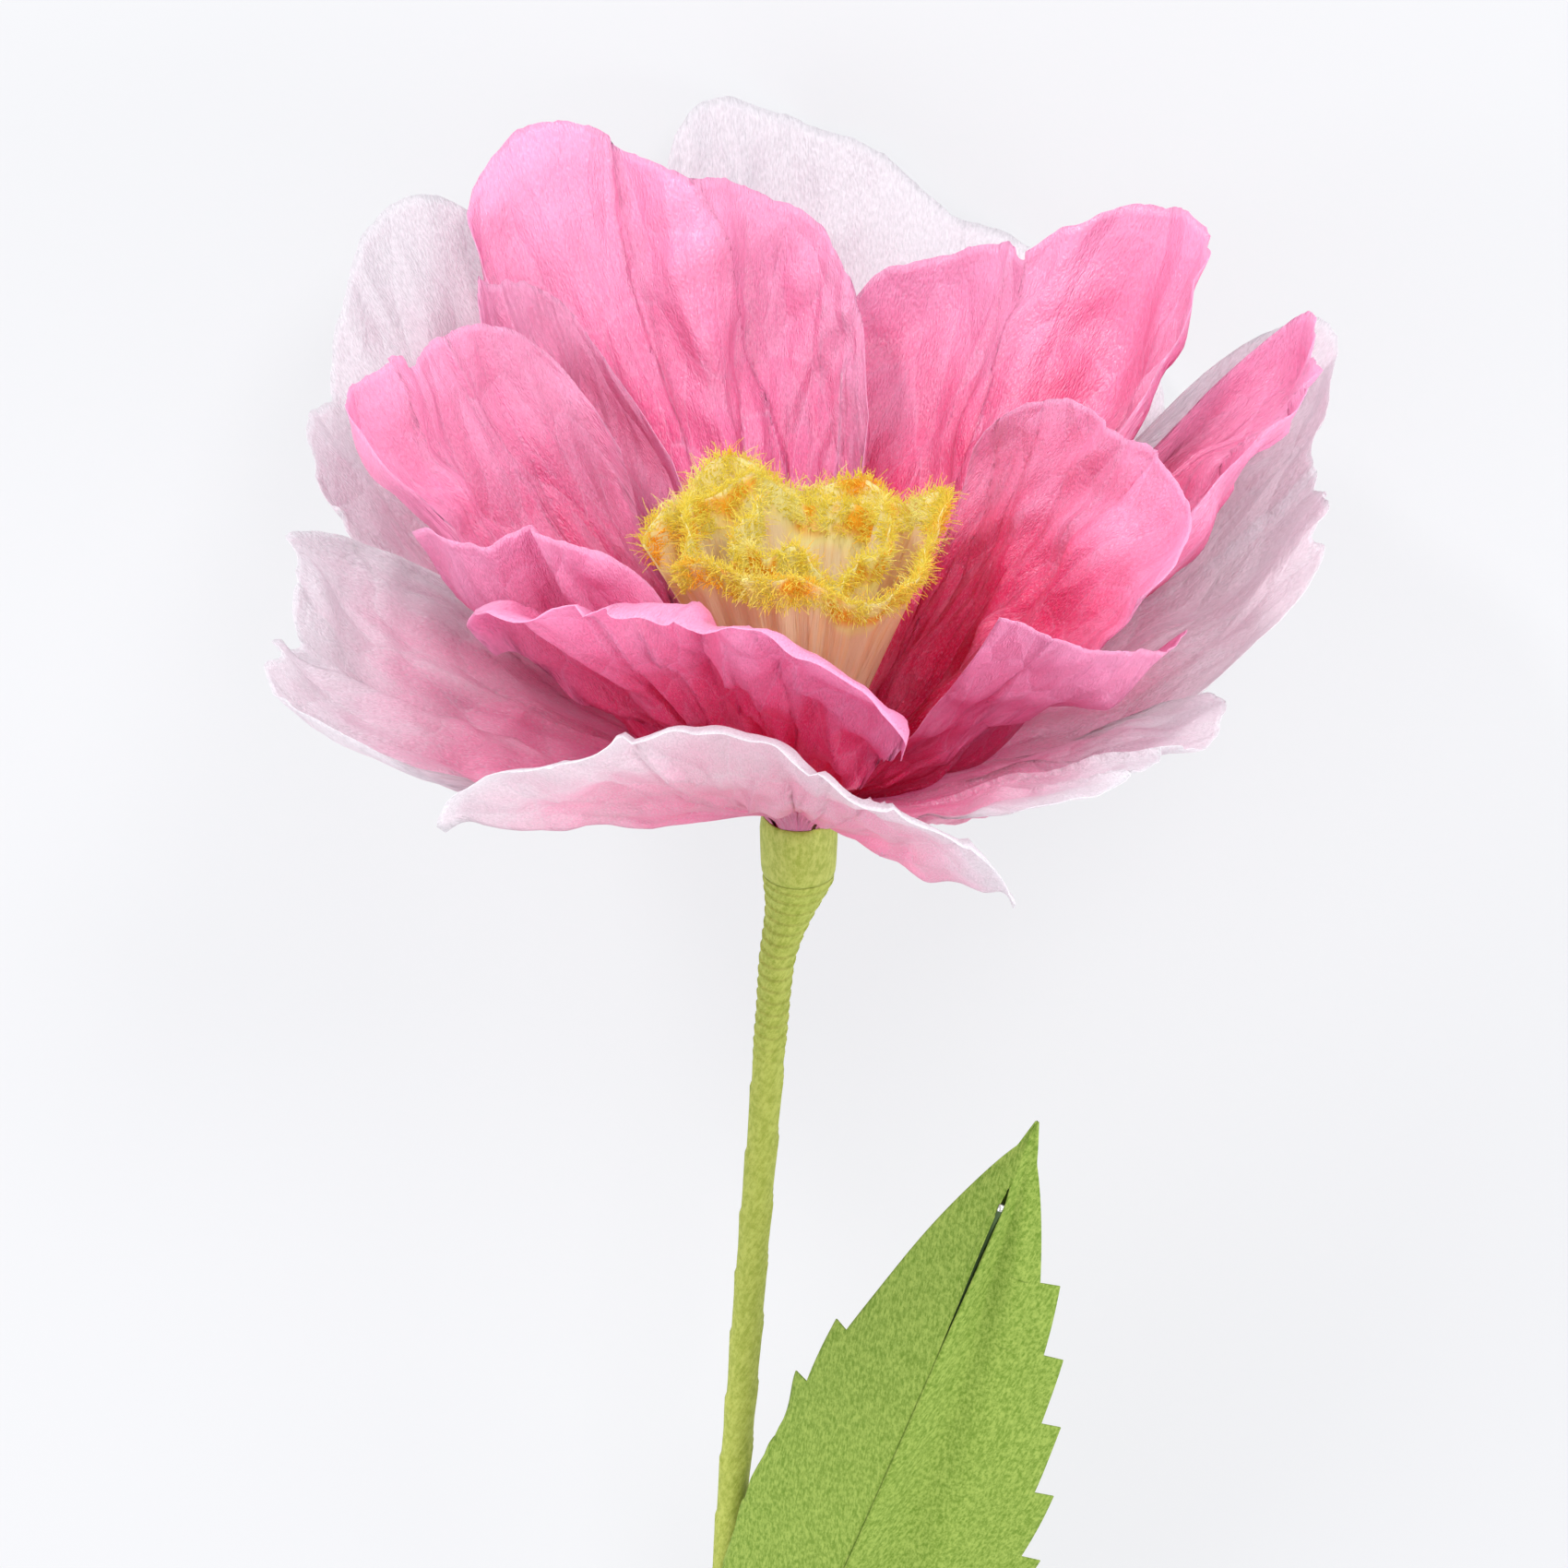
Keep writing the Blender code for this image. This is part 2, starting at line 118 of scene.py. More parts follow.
# Fine detail
TISSUE = 0.12 * MM
PETAL_GRID = (118, 72)          # points across and along a petal
RIM_RAG = 0.007                 # unevenness of a cut rim, share of the petal's length
WAVE = 0.7 * MM                 # slow waves shared by neighbouring petals
CREASES = 20                    # sharp folds on a petal of full width
CREASE_HEIGHT = 0.75 * MM
FACET_SLOPE = 0.18              # slope of one set of crumpled facets
PLEATS = 0.30 * MM              # height of the fine lengthwise pleats
# Local changes of a rim's reach: place across, width, share of the length
RIM_SHAPES = {
    "petal_pink_back_right": [(-0.12, 0.22, 0.055), (-0.60, 0.15, -0.04), (-1.0, 0.28, -0.17),
                              (0.17, 0.08, -0.05), (0.9, 0.15, 0.04)],
    "petal_pink_back_left": [(-0.5, 0.40, -0.024), (-1.0, 0.28, -0.08), (0.0, 0.12, 0.010),
                             (0.75, 0.20, -0.02)],
    "petal_pink_back_inner": [(-0.9, 0.45, -0.20), (0.0, 0.20, 0.045), (0.5, 0.20, 0.03)],
    "petal_pale_left_back": [(0.90, 0.35, -0.11)],
    "petal_pale_left_front": [(-0.35, 0.08, -0.03), (0.30, 0.06, -0.03), (-1.0, 0.32, -0.18),
                              (-0.45, 0.14, 0.03)],
    "petal_pale_right_back": [(0.15, 0.07, -0.04), (-0.45, 0.05, -0.03)],
    "petal_pale_front": [(-0.15, 0.05, -0.02), (0.6, 0.06, -0.02)],
}
# How far the last part of a rim curls outward, or inward where negative
RIM_CURL = {
    "petal_pink_front": 3.6 * MM,
    "petal_pale_front": 2.2 * MM,
    "petal_pink_back_right": -1.2 * MM,
    "petal_pink_right": -0.8 * MM,
    "petal_pale_left_front": -1.0 * MM,
}
# How far up the deep colour of the foot reaches, for the two papers and then for single petals; on the pale
# petals it is dye, on the pink ones partly dye and partly painted shade of the deep cup
FOOT_DYE_AND_SHADE_REACH = {
    "pink": 0.36,
    "pale": 0.52,
    "petal_pink_right": 0.64,
    "petal_pink_front": 0.46,
    "petal_pink_left": 0.40,
    "petal_pink_back_left": 0.27,
    "petal_pink_back_right": 0.54,
    "petal_pink_right_outer": 0.50,
    "petal_pink_front_left": 0.42,
    "petal_pale_front": 0.66,
    "petal_pale_left_front": 0.64,
    "petal_pale_right_front": 0.62,
    "petal_pale_right_back": 0.50,
    "petal_pale_left_back": 0.58,
}
# Folds where one part of a petal lies over the next: place at the rim, slant, lowest share along,
# side, lift
LAPS = {
    "petal_pink_front": [(-0.36, 0.0, 0.30, 1, 1.9 * MM)],
    "petal_pink_back_left": [(0.0, 0.9, 0.35, 1, -1.5 * MM)],
    "petal_pink_back_right": [(0.15, 0.1, 0.35, -1, -1.5 * MM)],
    "petal_pink_left": [(0.30, -0.2, 0.30, 1, -1.2 * MM), (-0.35, 0.1, 0.35, 1, -1.0 * MM)],
    "petal_pale_front": [(-0.35, 0.1, 0.10, 1, 1.3 * MM), (0.30, -0.1, 0.10, -1, 0.9 * MM)],
    "petal_pale_left_front": [(0.10, 0.0, 0.30, 1, -1.2 * MM)],
    "petal_pale_right_front": [(0.0, 0.3, 0.20, 1, -1.0 * MM)],
}
WIDEST = 0.7                    # where along its length a petal's half width is taken
FULL_WIDTH = 32.0 * MM          # half width of a petal that takes all its creases and pleats
GATHERS = 0.22 * MM             # folds of the gathered foot
FACET_SETS = 9                  # sets of crumpled facets, the first of them long
LONG_SETS = 5
CROSS_SETS = (3, 6, 8)          # sets that run across the others
LONG_FACET = (7.0, 17.0)        # in mm
SHORT_FACET = (3.6, 7.0)
FACET_STEEP = (0.25, 0.75)      # place of a facet's ridge between two valleys
PLEAT_BUNDLES = 4
PLEAT_BUNDLE = (0.07, 0.16)     # width of a bundle of pleats, share of the half width
PLEAT_STEP = (0.045, 0.070)
CREASE_SHARP = (0.5 * MM, 1.3 * MM)             # width of a fold's sharp side
RIPPLE = 0.55 * MM              # unevenness of the last part before the rim
PETAL_CRISP = {"pink": 1.0, "pale": 0.6}        # how strongly a paper is crumpled
PETAL_RELIEF = {"pink": 0.9, "pale": 0.7}       # strength of the finest relief, in the material
# How much of the light from behind comes through
LIGHT_THROUGH = {"pink": 0.42, "pale": 0.55, "stamen": 0.45, "fringe": 0.5, "leaf": 0.2}
STAMEN_GRID = 420               # points along the rolled strip
STAMEN_SHEET = 0.2 * MM
STAMEN_PLEAT = 0.34 * MM
STAMEN_PLEATS = 22              # pleats in one turn of the roll
FUZZ_BED = 0.1 * MM             # how far off the strip its fibres are planted
# Fibres: name, where they start on the strip, how many, length, radius, stray, seed
FRINGES = [
    ("fringe_pile", 0.90, 10700, 1.2 * MM, 0.10 * MM, 0.9, 11),
    ("fringe_hairs", 0.92, 3600, 3.0 * MM, 0.045 * MM, 1.1, 12),
]
WIND = 1.7 * MM                 # one turn of the tape under the head
WIND_LONG = 9.0 * MM            # one turn of the tape lower down
TAPE_LEDGE = (0.26 * MM, 0.24 * MM)
TAPE_CHANGE = 30.0 * MM         # depth at which the close turns end
TAPE_FINE = 36.0 * MM           # depth down to which its rings are close together
TAPE_SLANT = 0.9 * MM
TAPE_SHORT = 2.0 * MM           # how far it stops short of the wire's end
# Depth below the petals' foot and radius beyond the band's own, in mm; then the same for the bore
BAND_PROFILE = [(-1.0, -0.52), (-0.75, -0.3), (-0.2, -0.1), (1.0, 0.03), (3.0, 0.0), (4.4, -0.05),
                (5.6, -0.1), (6.6, -0.16), (7.4, -0.25), (7.9, -0.42)]
BAND_BORE = [(-0.9, 0.33), (0.4, 0.2), (7.9, 0.2)]
# The band's rings in the part's source, given in the same way; the flower's place is found from them
BAND_SOLID = [(0.2, -0.25), (0.6, 0.0), (3.0, 0.0), (6.6, -0.12), (7.3, -0.35)]
TIE_WIND = 2.4 * MM
TIE_SPAN = (2.5 * MM, 20.0 * MM)
LEAF_SHEET = 0.22 * MM
LEAF_VALLEY = 2.2 * MM          # the soft valley beside the rib on the right half
LEAF_ROLL = (0.87, 0.76)        # where the left margin rolls back, near the tip and near the base

# Colours
PINK = (0.95, 0.13, 0.38)
# deep crimson of the pink petals' foot: partly dye, partly painted shade and light bounced between the
# layers deep in the cup
PINK_FOOT_DYE_AND_SHADE = (0.93, 0.005, 0.12)
PINK_RIM = (0.98, 0.47, 0.71)
PALE = (0.83, 0.76, 0.81)
PALE_FOOT = (0.96, 0.32, 0.55)
PALE_RIM = (0.86, 0.83, 0.86)
GREEN_TAPE = (0.345, 0.375, 0.075)
GREEN_TAPE_DARK = (0.22, 0.26, 0.030)
GREEN_BAND = (0.345, 0.365, 0.078)
GREEN_LEAF = (0.31, 0.41, 0.078)
GREEN_LEAF_DARK = (0.13, 0.225, 0.018)
# near black: partly the green paper on the leaf's wire, partly painted shade of the trough it lies in
WIRE_PAPER_AND_TROUGH_SHADE = (0.03, 0.06, 0.012)
CREAM = (0.97, 0.85, 0.60)
BLUSH = (0.95, 0.48, 0.32)
YELLOW = (0.94, 0.84, 0.15)
YELLOW_PALE = (0.99, 0.95, 0.50)
ORANGE = (1.0, 0.56, 0.03)
# Crepe papers: light and dark dye, fineness and turn of the grain, roughness, depth of the crinkles
CREPES = {
    "tape_crepe": (GREEN_TAPE, GREEN_TAPE_DARK, 0.7, 0.5, 0.7, 0.4),
    "tie_crepe": (GREEN_TAPE, GREEN_TAPE_DARK, 0.7, 0.5, 0.7, 0.4),
    "band_crepe": (GREEN_BAND, GREEN_TAPE_DARK, 0.6, 0.0, 0.62, 0.25),
    "leaf_paper": (GREEN_LEAF, GREEN_LEAF_DARK, 0.9, 0.33, 0.8, 0.3),
}
STEEL = (0.42, 0.42, 0.41)
STEEL_LIGHT = (0.66, 0.66, 0.64)
BACKDROP = (0.800, 0.805, 0.825)
FLOOR_PAINT = (0.80, 0.80, 0.82)
SURROUND = (0.95, 0.97, 1.0)
SURROUND_LEVEL = 1.05
FLOOR = 3.0                     # half the floor's side
SHADOW_SHARE = 0.2              # how much of the floor's own light and shade the camera sees
LENS = 168.1
CAMERA_TILT = math.radians(28)
CAMERA_OFF = (-2.015 * MM, 5.04 * MM, 1.0)      # right, up and back from the petals' foot, as it sees
# Lights: name, right, up and toward the camera from the head, size (metres), watts
LIGHTS = [
    ("key", -0.75, 1.10, 0.95, 0.26, 11.5),
    ("fill", 1.15, -0.55, 0.65, 0.8, 13.5),
    ("side", -1.15, -0.50, 0.60, 0.9, 8.5),
    ("front", 0.35, 0.45, 1.30, 0.4, 7.0),
]


# Small mathematics

def smooth(x):
    """Ease from 0 to 1."""
    x = np.clip(x, 0.0, 1.0)
    return x * x * (3 - 2 * x)


def eased(x):
    """Smooth for a single number."""
    return float(smooth(x))


def waves(x, seed, count=5, lowest=1.0):
    """A smooth uneven line: a few sines of rising pitch with seeded phases, about one each way."""
    random = np.random.default_rng(seed)
    total = np.zeros_like(np.asarray(x, dtype=float))
    for k in range(count):
        pitch = lowest * (1.7 ** k) * random.uniform(0.85, 1.15)
        total = total + np.sin(pitch * x * 2 * math.pi + random.uniform(0, 2 * math.pi)) / (1.35 ** k)
    return total / 2.4


def unit(v):
    """Vectors of length one, along the last axis."""
    return v / np.maximum(np.linalg.norm(v, axis=-1, keepdims=True), 1e-12)


def sheet_normals(grid):
    """Unit normals of a grid of points, rows by columns."""
    return unit(np.cross(np.gradient(grid, axis=1), np.gradient(grid, axis=0)))


# Petal shape

def rim_reach(u, notch, lean, corner):
    """Share of the petal's length reached at u: two lobes, a notch between them, rounded shoulders."""
    a = np.abs(u)
    q = np.clip((a - 0.5) / 0.5, 0.0, 1.0)
    shoulder = corner + (1 - corner) * np.sqrt(np.maximum(0.0, 1 - q ** 2.2))
    lobes = 1 - notch * (1 - np.minimum(a, 0.5) / 0.5) ** 2
    return np.where(a > 0.5, shoulder, lobes) * (1 + lean * u)


def petal_point(spec, u, s, rag=0.0):
    """Mid-surface points of a petal at u across and s along; rag lengthens or shortens the reach."""
    ring, azimuth, span, length, opening, belly, notch, lean, corner, folds = spec[1:]
    spread = FOOT_SPREAD[ring] + (1 - FOOT_SPREAD[ring]) * smooth(s / 0.35)
    phi = np.radians(azimuth + span * u * spread)
    first, middle, last = opening
    wide = middle + 0.5 * (last - first) * u + (0.5 * (last + first) - middle) * u * u
    t = HEAD * length * MM * (rim_reach(u, notch, lean, corner) + rag) * s
    rise = 1 - np.exp(-t / (OPEN_OVER * HEAD))
    beta = 10 + (wide - 10) * rise + belly * 4 * s * (1 - s) * rise
    for at, depth in folds:
        beta = beta + depth * smooth(1 - np.abs(u - at) / 0.3) * smooth((s - 0.1) / 0.4)
    beta = np.radians(beta)
    radius = RING_R[ring] + t * np.sin(beta)
    return np.stack([radius * np.sin(phi), -radius * np.cos(phi), t * np.cos(beta)], axis=-1), phi, t


def facets(x, y, seed):
    """Height in mm of crumpled facets: ridged waves in several directions over gently bent coordinates."""
    random = np.random.default_rng(seed)
    bent_x = x + 2.2 * np.sin(y / 9.0 + random.uniform(0, 6)) + 1.5 * np.sin(x / 6.5 + y / 13.0)
    bent_y = y + 2.6 * np.sin(x / 8.0 + random.uniform(0, 6)) + 1.6 * np.sin(y / 7.0 - x / 11.0)
    total = np.zeros_like(x)
    for k in range(FACET_SETS):
        turn = random.normal(0.0, 0.55) + (random.uniform(0.7, 1.6) if k in CROSS_SETS else 0.0)
        length = random.uniform(*(LONG_FACET if k < LONG_SETS else SHORT_FACET))
        phase = (bent_x * math.cos(turn) + bent_y * math.sin(turn)) / length + random.uniform(0, 2)
        phase = phase % 2.0
        steep = random.uniform(*FACET_STEEP)
        fold = np.where(phase < 2 * steep, phase / (2 * steep), (2 - phase) / (2 - 2 * steep)) - 0.5
        reach = (random.uniform(7, 15), random.uniform(9, 22))
        patch = np.sin(x / reach[0] + random.uniform(0, 6)) * np.sin(y / reach[1] + random.uniform(0, 6))
        total = total + fold * length * smooth(0.8 * patch + 0.5)
    return total


def pleats(u, s, seed):
    """Bundles of fine lengthwise pleats that fade out toward the rim."""
    random = np.random.default_rng(seed)
    total = np.zeros_like(u)
    for k in range(PLEAT_BUNDLES):
        at = random.uniform(-0.8, 0.8)
        wide = random.uniform(*PLEAT_BUNDLE)
        reach = random.uniform(0.55, 0.95)
        drift = u - at - 0.10 * np.sin(2.2 * s + 3 * at)
        window = np.exp(-(drift / wide) ** 4) * smooth(s / 0.12) * smooth((reach - s) / 0.3)
        phase = drift / random.uniform(*PLEAT_STEP) + 0.5 * np.sin(5 * s + at * 9)
        total = total + window * (np.abs(phase % 2.0 - 1.0) - 0.5)
    return total


def creases(u, s, seed, width, share):
    """Height of sharp folds; one side of each also falls away slowly, as folded tissue does."""
    random = np.random.default_rng(seed)
    total = np.zeros_like(u)
    for k in range(int(CREASES * share)):
        at = random.uniform(-0.95, 0.95)
        slant = random.normal(0.0, 0.16) + (random.normal(0.0, 0.8) if k % 4 == 3 else 0.0)
        start = random.uniform(-0.1, 0.6)
        reach = random.uniform(0.25, 0.7)
        sharp = random.uniform(*CREASE_SHARP) / width
        lift = CREASE_HEIGHT * random.uniform(0.35, 1.0) * random.choice((-1, 1))
        off = u - at - slant * (s - 0.5) - 0.03 * np.sin(9 * s + at * 20)
        window = smooth((s - start) / 0.15) * (1 - smooth((s - start - reach) / 0.2)) * smooth(s / 0.3)
        fall = 0.8 * np.exp(-np.maximum(off, 0) / (7 * sharp)) * (off > 0)
        total = total + lift * window * (np.exp(-np.abs(off) / sharp) + fall)
    return total


def laps(name, u, s):
    """Height of the steps where one part of a petal lies over the next."""
    total = np.zeros_like(u)
    for at, slant, low, side, lift in LAPS.get(name, []):
        off = side * (u - at - slant * (s - 1))
        total = total + lift * smooth((s - low) / 0.25) * np.exp(-np.maximum(off, 0) / 0.22) * (off > 0)
    return total


def crumple(name, crisp, u, s, phi, t, seed, width):
    """Height of a petal's relief: slow waves, gathers at the foot, folds of all sizes and a rippled rim."""
    share = min(1.0, width / FULL_WIDTH)
    near_rim = smooth((s - 0.84) / 0.16)
    swell = np.sin(6.2 * phi + t * 95) * np.sin(t * 130 + 2.0 * phi) + 0.5 * np.sin(11 * phi - t * 160)
    height = WAVE * smooth((s - 0.15) / 0.6) * swell
    gathered = (1 - smooth((s - 0.1) / 0.45)) * smooth(s / 0.08)
    height = height + GATHERS * gathered * waves(u, seed + 1, 6, 1.6)
    height = height + creases(u, s, seed, width, share)
    crumpled = facets(u * width / MM, t / MM, seed + 5) * MM * smooth((s - 0.08) / 0.4)
    height = height + crisp * FACET_SLOPE * crumpled * (1 - 0.45 * near_rim)
    height = height + PLEATS * share * pleats(u, s, seed + 9) + laps(name, u, s)
    ripple = near_rim * RIPPLE * waves(u, seed + 2, 4, 1.1)
    curled = np.clip((s - 0.90) / 0.10, 0, 1) ** 2 * (1 + 0.3 * waves(u, seed + 4, 4, 1.0))
    return height + ripple + RIM_CURL.get(name, 0.0) * curled


# Objects

def place(points):
    """From the flower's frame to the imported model's frame, where it lies."""
    return points @ POSE.T - SHIFT


def put(name, data):
    """A new object at the origin, in the scene."""
    obj = bpy.data.objects.new(name, data)
    bpy.context.scene.collection.objects.link(obj)
    return obj


def add_mesh(name, points, faces, uv=None, body=True):
    """A smooth-shaded object from points in the flower's frame; one without a body is a helper."""
    mesh = bpy.data.meshes.new(name)
    mesh.from_pydata(place(np.asarray(points)).tolist(), [], faces)
    if uv is not None:
        layer = mesh.uv_layers.new(name="UVMap")
        corner = np.empty(len(mesh.loops), dtype=np.int32)
        mesh.loops.foreach_get("vertex_index", corner)
        layer.data.foreach_set("uv", np.asarray(uv, dtype=np.float32)[corner].ravel())
    mesh.polygons.foreach_set("use_smooth", [True] * len(mesh.polygons))
    mesh.update()
    obj = put(name, mesh)
    if body:
        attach(obj, "root")
    return obj


def dress(obj, node, *materials):
    """Put a piece in the place of its node of the part, in its materials."""
    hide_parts(node)
    for material in materials:
        obj.data.materials.append(material)


def grid_faces(rows, cols, start=0, flip=False):
    """Quads of a grid of points numbered row by row."""
    index = np.arange(rows * cols).reshape(rows, cols) + start
    corners = [index[:-1, :-1], index[:-1, 1:], index[1:, 1:], index[1:, :-1]]
    quads = np.stack(corners, axis=-1).reshape(-1, 4)
    return (quads[:, ::-1] if flip else quads).tolist()


def sheet(name, grid, thickness, uv):
    """A closed thin sheet round a grid of mid-surface points; its first side faces along sheet_normals."""
    rows, cols = grid.shape[:2]
    half = sheet_normals(grid) * thickness / 2
    points = np.vstack([(grid + half).reshape(-1, 3), (grid - half).reshape(-1, 3)])
    count = rows * cols
    faces = grid_faces(rows, cols) + grid_faces(rows, cols, count, True)
    edge = list(range(cols))
    edge += [r * cols + cols - 1 for r in range(1, rows)]
    edge += [(rows - 1) * cols + c for c in range(cols - 2, -1, -1)]
    edge += [r * cols for r in range(rows - 2, 0, -1)]
    for a, b in zip(edge, edge[1:] + edge[:1]):
        faces.append((b, a, count + a, count + b))
    return add_mesh(name, points, faces, np.vstack([uv.reshape(-1, 2)] * 2))


def tube(name, rings):
    """A closed rod from rings of points, its ends closed flat."""
    rings = np.asarray(rings)
    count, sides = rings.shape[:2]
    faces = []
    for r in range(count - 1):
        for k in range(sides):
            m = (k + 1) % sides
            faces.append((r * sides + k, (r + 1) * sides + k, (r + 1) * sides + m, r * sides + m))
    faces.append(tuple(range(sides)))
    faces.append(tuple(reversed(range((count - 1) * sides, count * sides))))
    return add_mesh(name, rings.reshape(-1, 3), faces)


def sleeve(name, outer, inner):
    """A closed sleeve from outside rings top to bottom and bore rings top to bottom."""
    rings = np.concatenate([np.asarray(outer), np.asarray(inner)[::-1]])
    count, sides = rings.shape[:2]
    faces = []
    for r in range(count):
        lower = (r + 1) % count
        for k in range(sides):
            m = (k + 1) % sides
            faces.append((r * sides + k, lower * sides + k, lower * sides + m, r * sides + m))
    return add_mesh(name, rings.reshape(-1, 3), faces)


def round_angles(sides):
    """Even angles once round."""
    return np.linspace(0, 2 * math.pi, sides, endpoint=False)


def ring_at(centre, radius, sides, axis=None):
    """Points of a ring; radius is a number or one per point."""
    a = round_angles(sides)
    side, front = axis if axis is not None else (np.array((1.0, 0, 0)), np.array((0, 1.0, 0)))
    return np.asarray(centre) + np.outer(np.cos(a) * radius, side) + np.outer(np.sin(a) * radius, front)


# Stem and stamen paths

def stem_centre(depth):
    """Centre of the stem at a depth below the petals' foot."""
    below = max(0.0, depth - NECK)
    bent = below - STEM_BEND_OVER * (1 - math.exp(-below / STEM_BEND_OVER))
    x = -STEM_STEP * eased(below / STEM_STEP_OVER) - STEM_LEAN * below
    return np.array((x, -math.tan(STEM_NOD) * bent, -depth))


def tape_radius(depth):
    """Outside radius of the wrapped stem: a taper under the band, then even."""
    below = max(0.0, depth - NECK)
    return STEM_R + (BAND_R - BAND_LIP - STEM_R) * math.exp(-(below / TAPER_OVER) ** 1.3)


def stamen_point(a, h):
    """a turns along the strip, h up it; negative h is the foot's depth in metres."""
    share = a / STAMEN_TURNS
    theta = 2 * math.pi * a + STAMEN_START
    up = np.maximum(h, 0.0)
    foot = STAMEN_FOOT_IN + STAMEN_FOOT_PITCH * a
    rim = STAMEN_RIM_IN + (STAMEN_RIM_OUT - STAMEN_RIM_IN) * smooth(share * 1.15) ** 0.8
    ruffle = (0.4 + 0.6 * share) * STAMEN_RUFFLE * np.sin(6.5 * theta) * up ** 3
    r = foot + (rim - foot) * up ** 1.2 + ruffle
    z = STAMEN_HEIGHT * up * (1 + 0.05 * up * np.sin(3 * theta + 1) + 0.03 * up * np.sin(7 * theta))
    z = z + np.minimum(h, 0.0)
    return np.stack([r * np.cos(theta), r * np.sin(theta), z], axis=-1)


def resting_turn():
    """Turn from the flower's frame to the lying pose, as in the part's source."""
    spec = next(row for row in PETALS if row[0] == BACK_PETAL)
    lobe_a = petal_point(spec, 0.5, 1.0)[0]
    lobe_b = petal_point(spec, -0.5, 1.0)[0]
    heel = stem_centre(STEM_LENGTH) + np.array((0.0, WIRE_R, 0.0))
    up = unit(np.cross(lobe_a - heel, lobe_b - heel))
    if up[1] > 0:
        up = -up
    ahead = unit(np.array((0.0, 0.0, 1.0)) - up * up[2])
    return np.array((np.cross(ahead, up), ahead, up))


def resting_shift():
    """Where the flower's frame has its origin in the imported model, read from the band's box."""
    rings = [ring_at((0, 0, -d * MM), BAND_R + r * MM, 28) for d, r in BAND_SOLID]
    turned = np.concatenate(rings) @ POSE.T
    low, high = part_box("calyx_band")
    middle = (np.array(low) + np.array(high)) / 2
    return (turned.min(axis=0) + turned.max(axis=0)) / 2 - middle


POSE = resting_turn()
SHIFT = resting_shift()


# Material tools

def feed(tree, node, inputs):
    """Set a node's inputs, each to a value or from another node's socket."""
    for key, value in inputs.items():
        if isinstance(value, bpy.types.NodeSocket):
            tree.links.new(value, node.inputs[key])
        else:
            node.inputs[key].default_value = value


def add(tree, kind, inputs=None, **props):
    """One node with its properties and its inputs."""
    made = tree.nodes.new(kind)
    for key, value in props.items():
        setattr(made, key, value)
    feed(tree, made, inputs or {})
    return made


def maths(tree, operation, a, b=0.0, c=0.0):
    """The result of a Math node."""
    return add(tree, "ShaderNodeMath", {0: a, 1: b, 2: c}, operation=operation).outputs[0]


def blend(tree, share, a, b, kind="MIX"):
    """The colour between a and b at share."""
    node = add(tree, "ShaderNodeMix", {0: share, 6: a, 7: b}, data_type="RGBA", blend_type=kind)
    return node.outputs[2]


def noise(tree, vector, scale, detail=3.0, rough=0.55, stretch=(1, 1, 1), shift=(0, 0, 0), kind="3D"):
    """A noise value on stretched coordinates."""
    moved = add(tree, "ShaderNodeMapping", {"Vector": vector, "Scale": stretch, "Location": shift})
    node = add(tree, "ShaderNodeTexNoise", {"Vector": moved.outputs[0], "Scale": scale, "Detail": detail,
                                            "Roughness": rough}, noise_dimensions=kind)
    return node.outputs["Fac"]


def map_noise(tree, vector, across, along, detail=2.0, rough=0.6, shift=0.0):
    """A noise value on a sheet's own map, so many patches across and so many along."""
    return noise(tree, vector, 1.0, detail, rough, (across, along, 1), (shift, shift, 0), "2D")


def span(tree, value, low, high):
    """Value eased from 0 at low to 1 at high."""
    node = add(tree, "ShaderNodeMapRange", {"Value": value, "From Min": low, "From Max": high},
               interpolation_type="SMOOTHSTEP")
    return node.outputs[0]


def new_group(name, inputs, outputs):
    """An empty shader group and its two end nodes."""
    tree = bpy.data.node_groups.new(name, "ShaderNodeTree")
    kinds = {"colour": "NodeSocketColor", "value": "NodeSocketFloat"}
    for label, kind, start in inputs:
        socket = tree.interface.new_socket(label, in_out="INPUT", socket_type=kinds[kind])
        socket.default_value = (*start, 1.0) if kind == "colour" else start
    for label, kind in outputs:
        tree.interface.new_socket(label, in_out="OUTPUT", socket_type=kinds[kind])
    return tree, tree.nodes.new("NodeGroupInput").outputs, tree.nodes.new("NodeGroupOutput").inputs


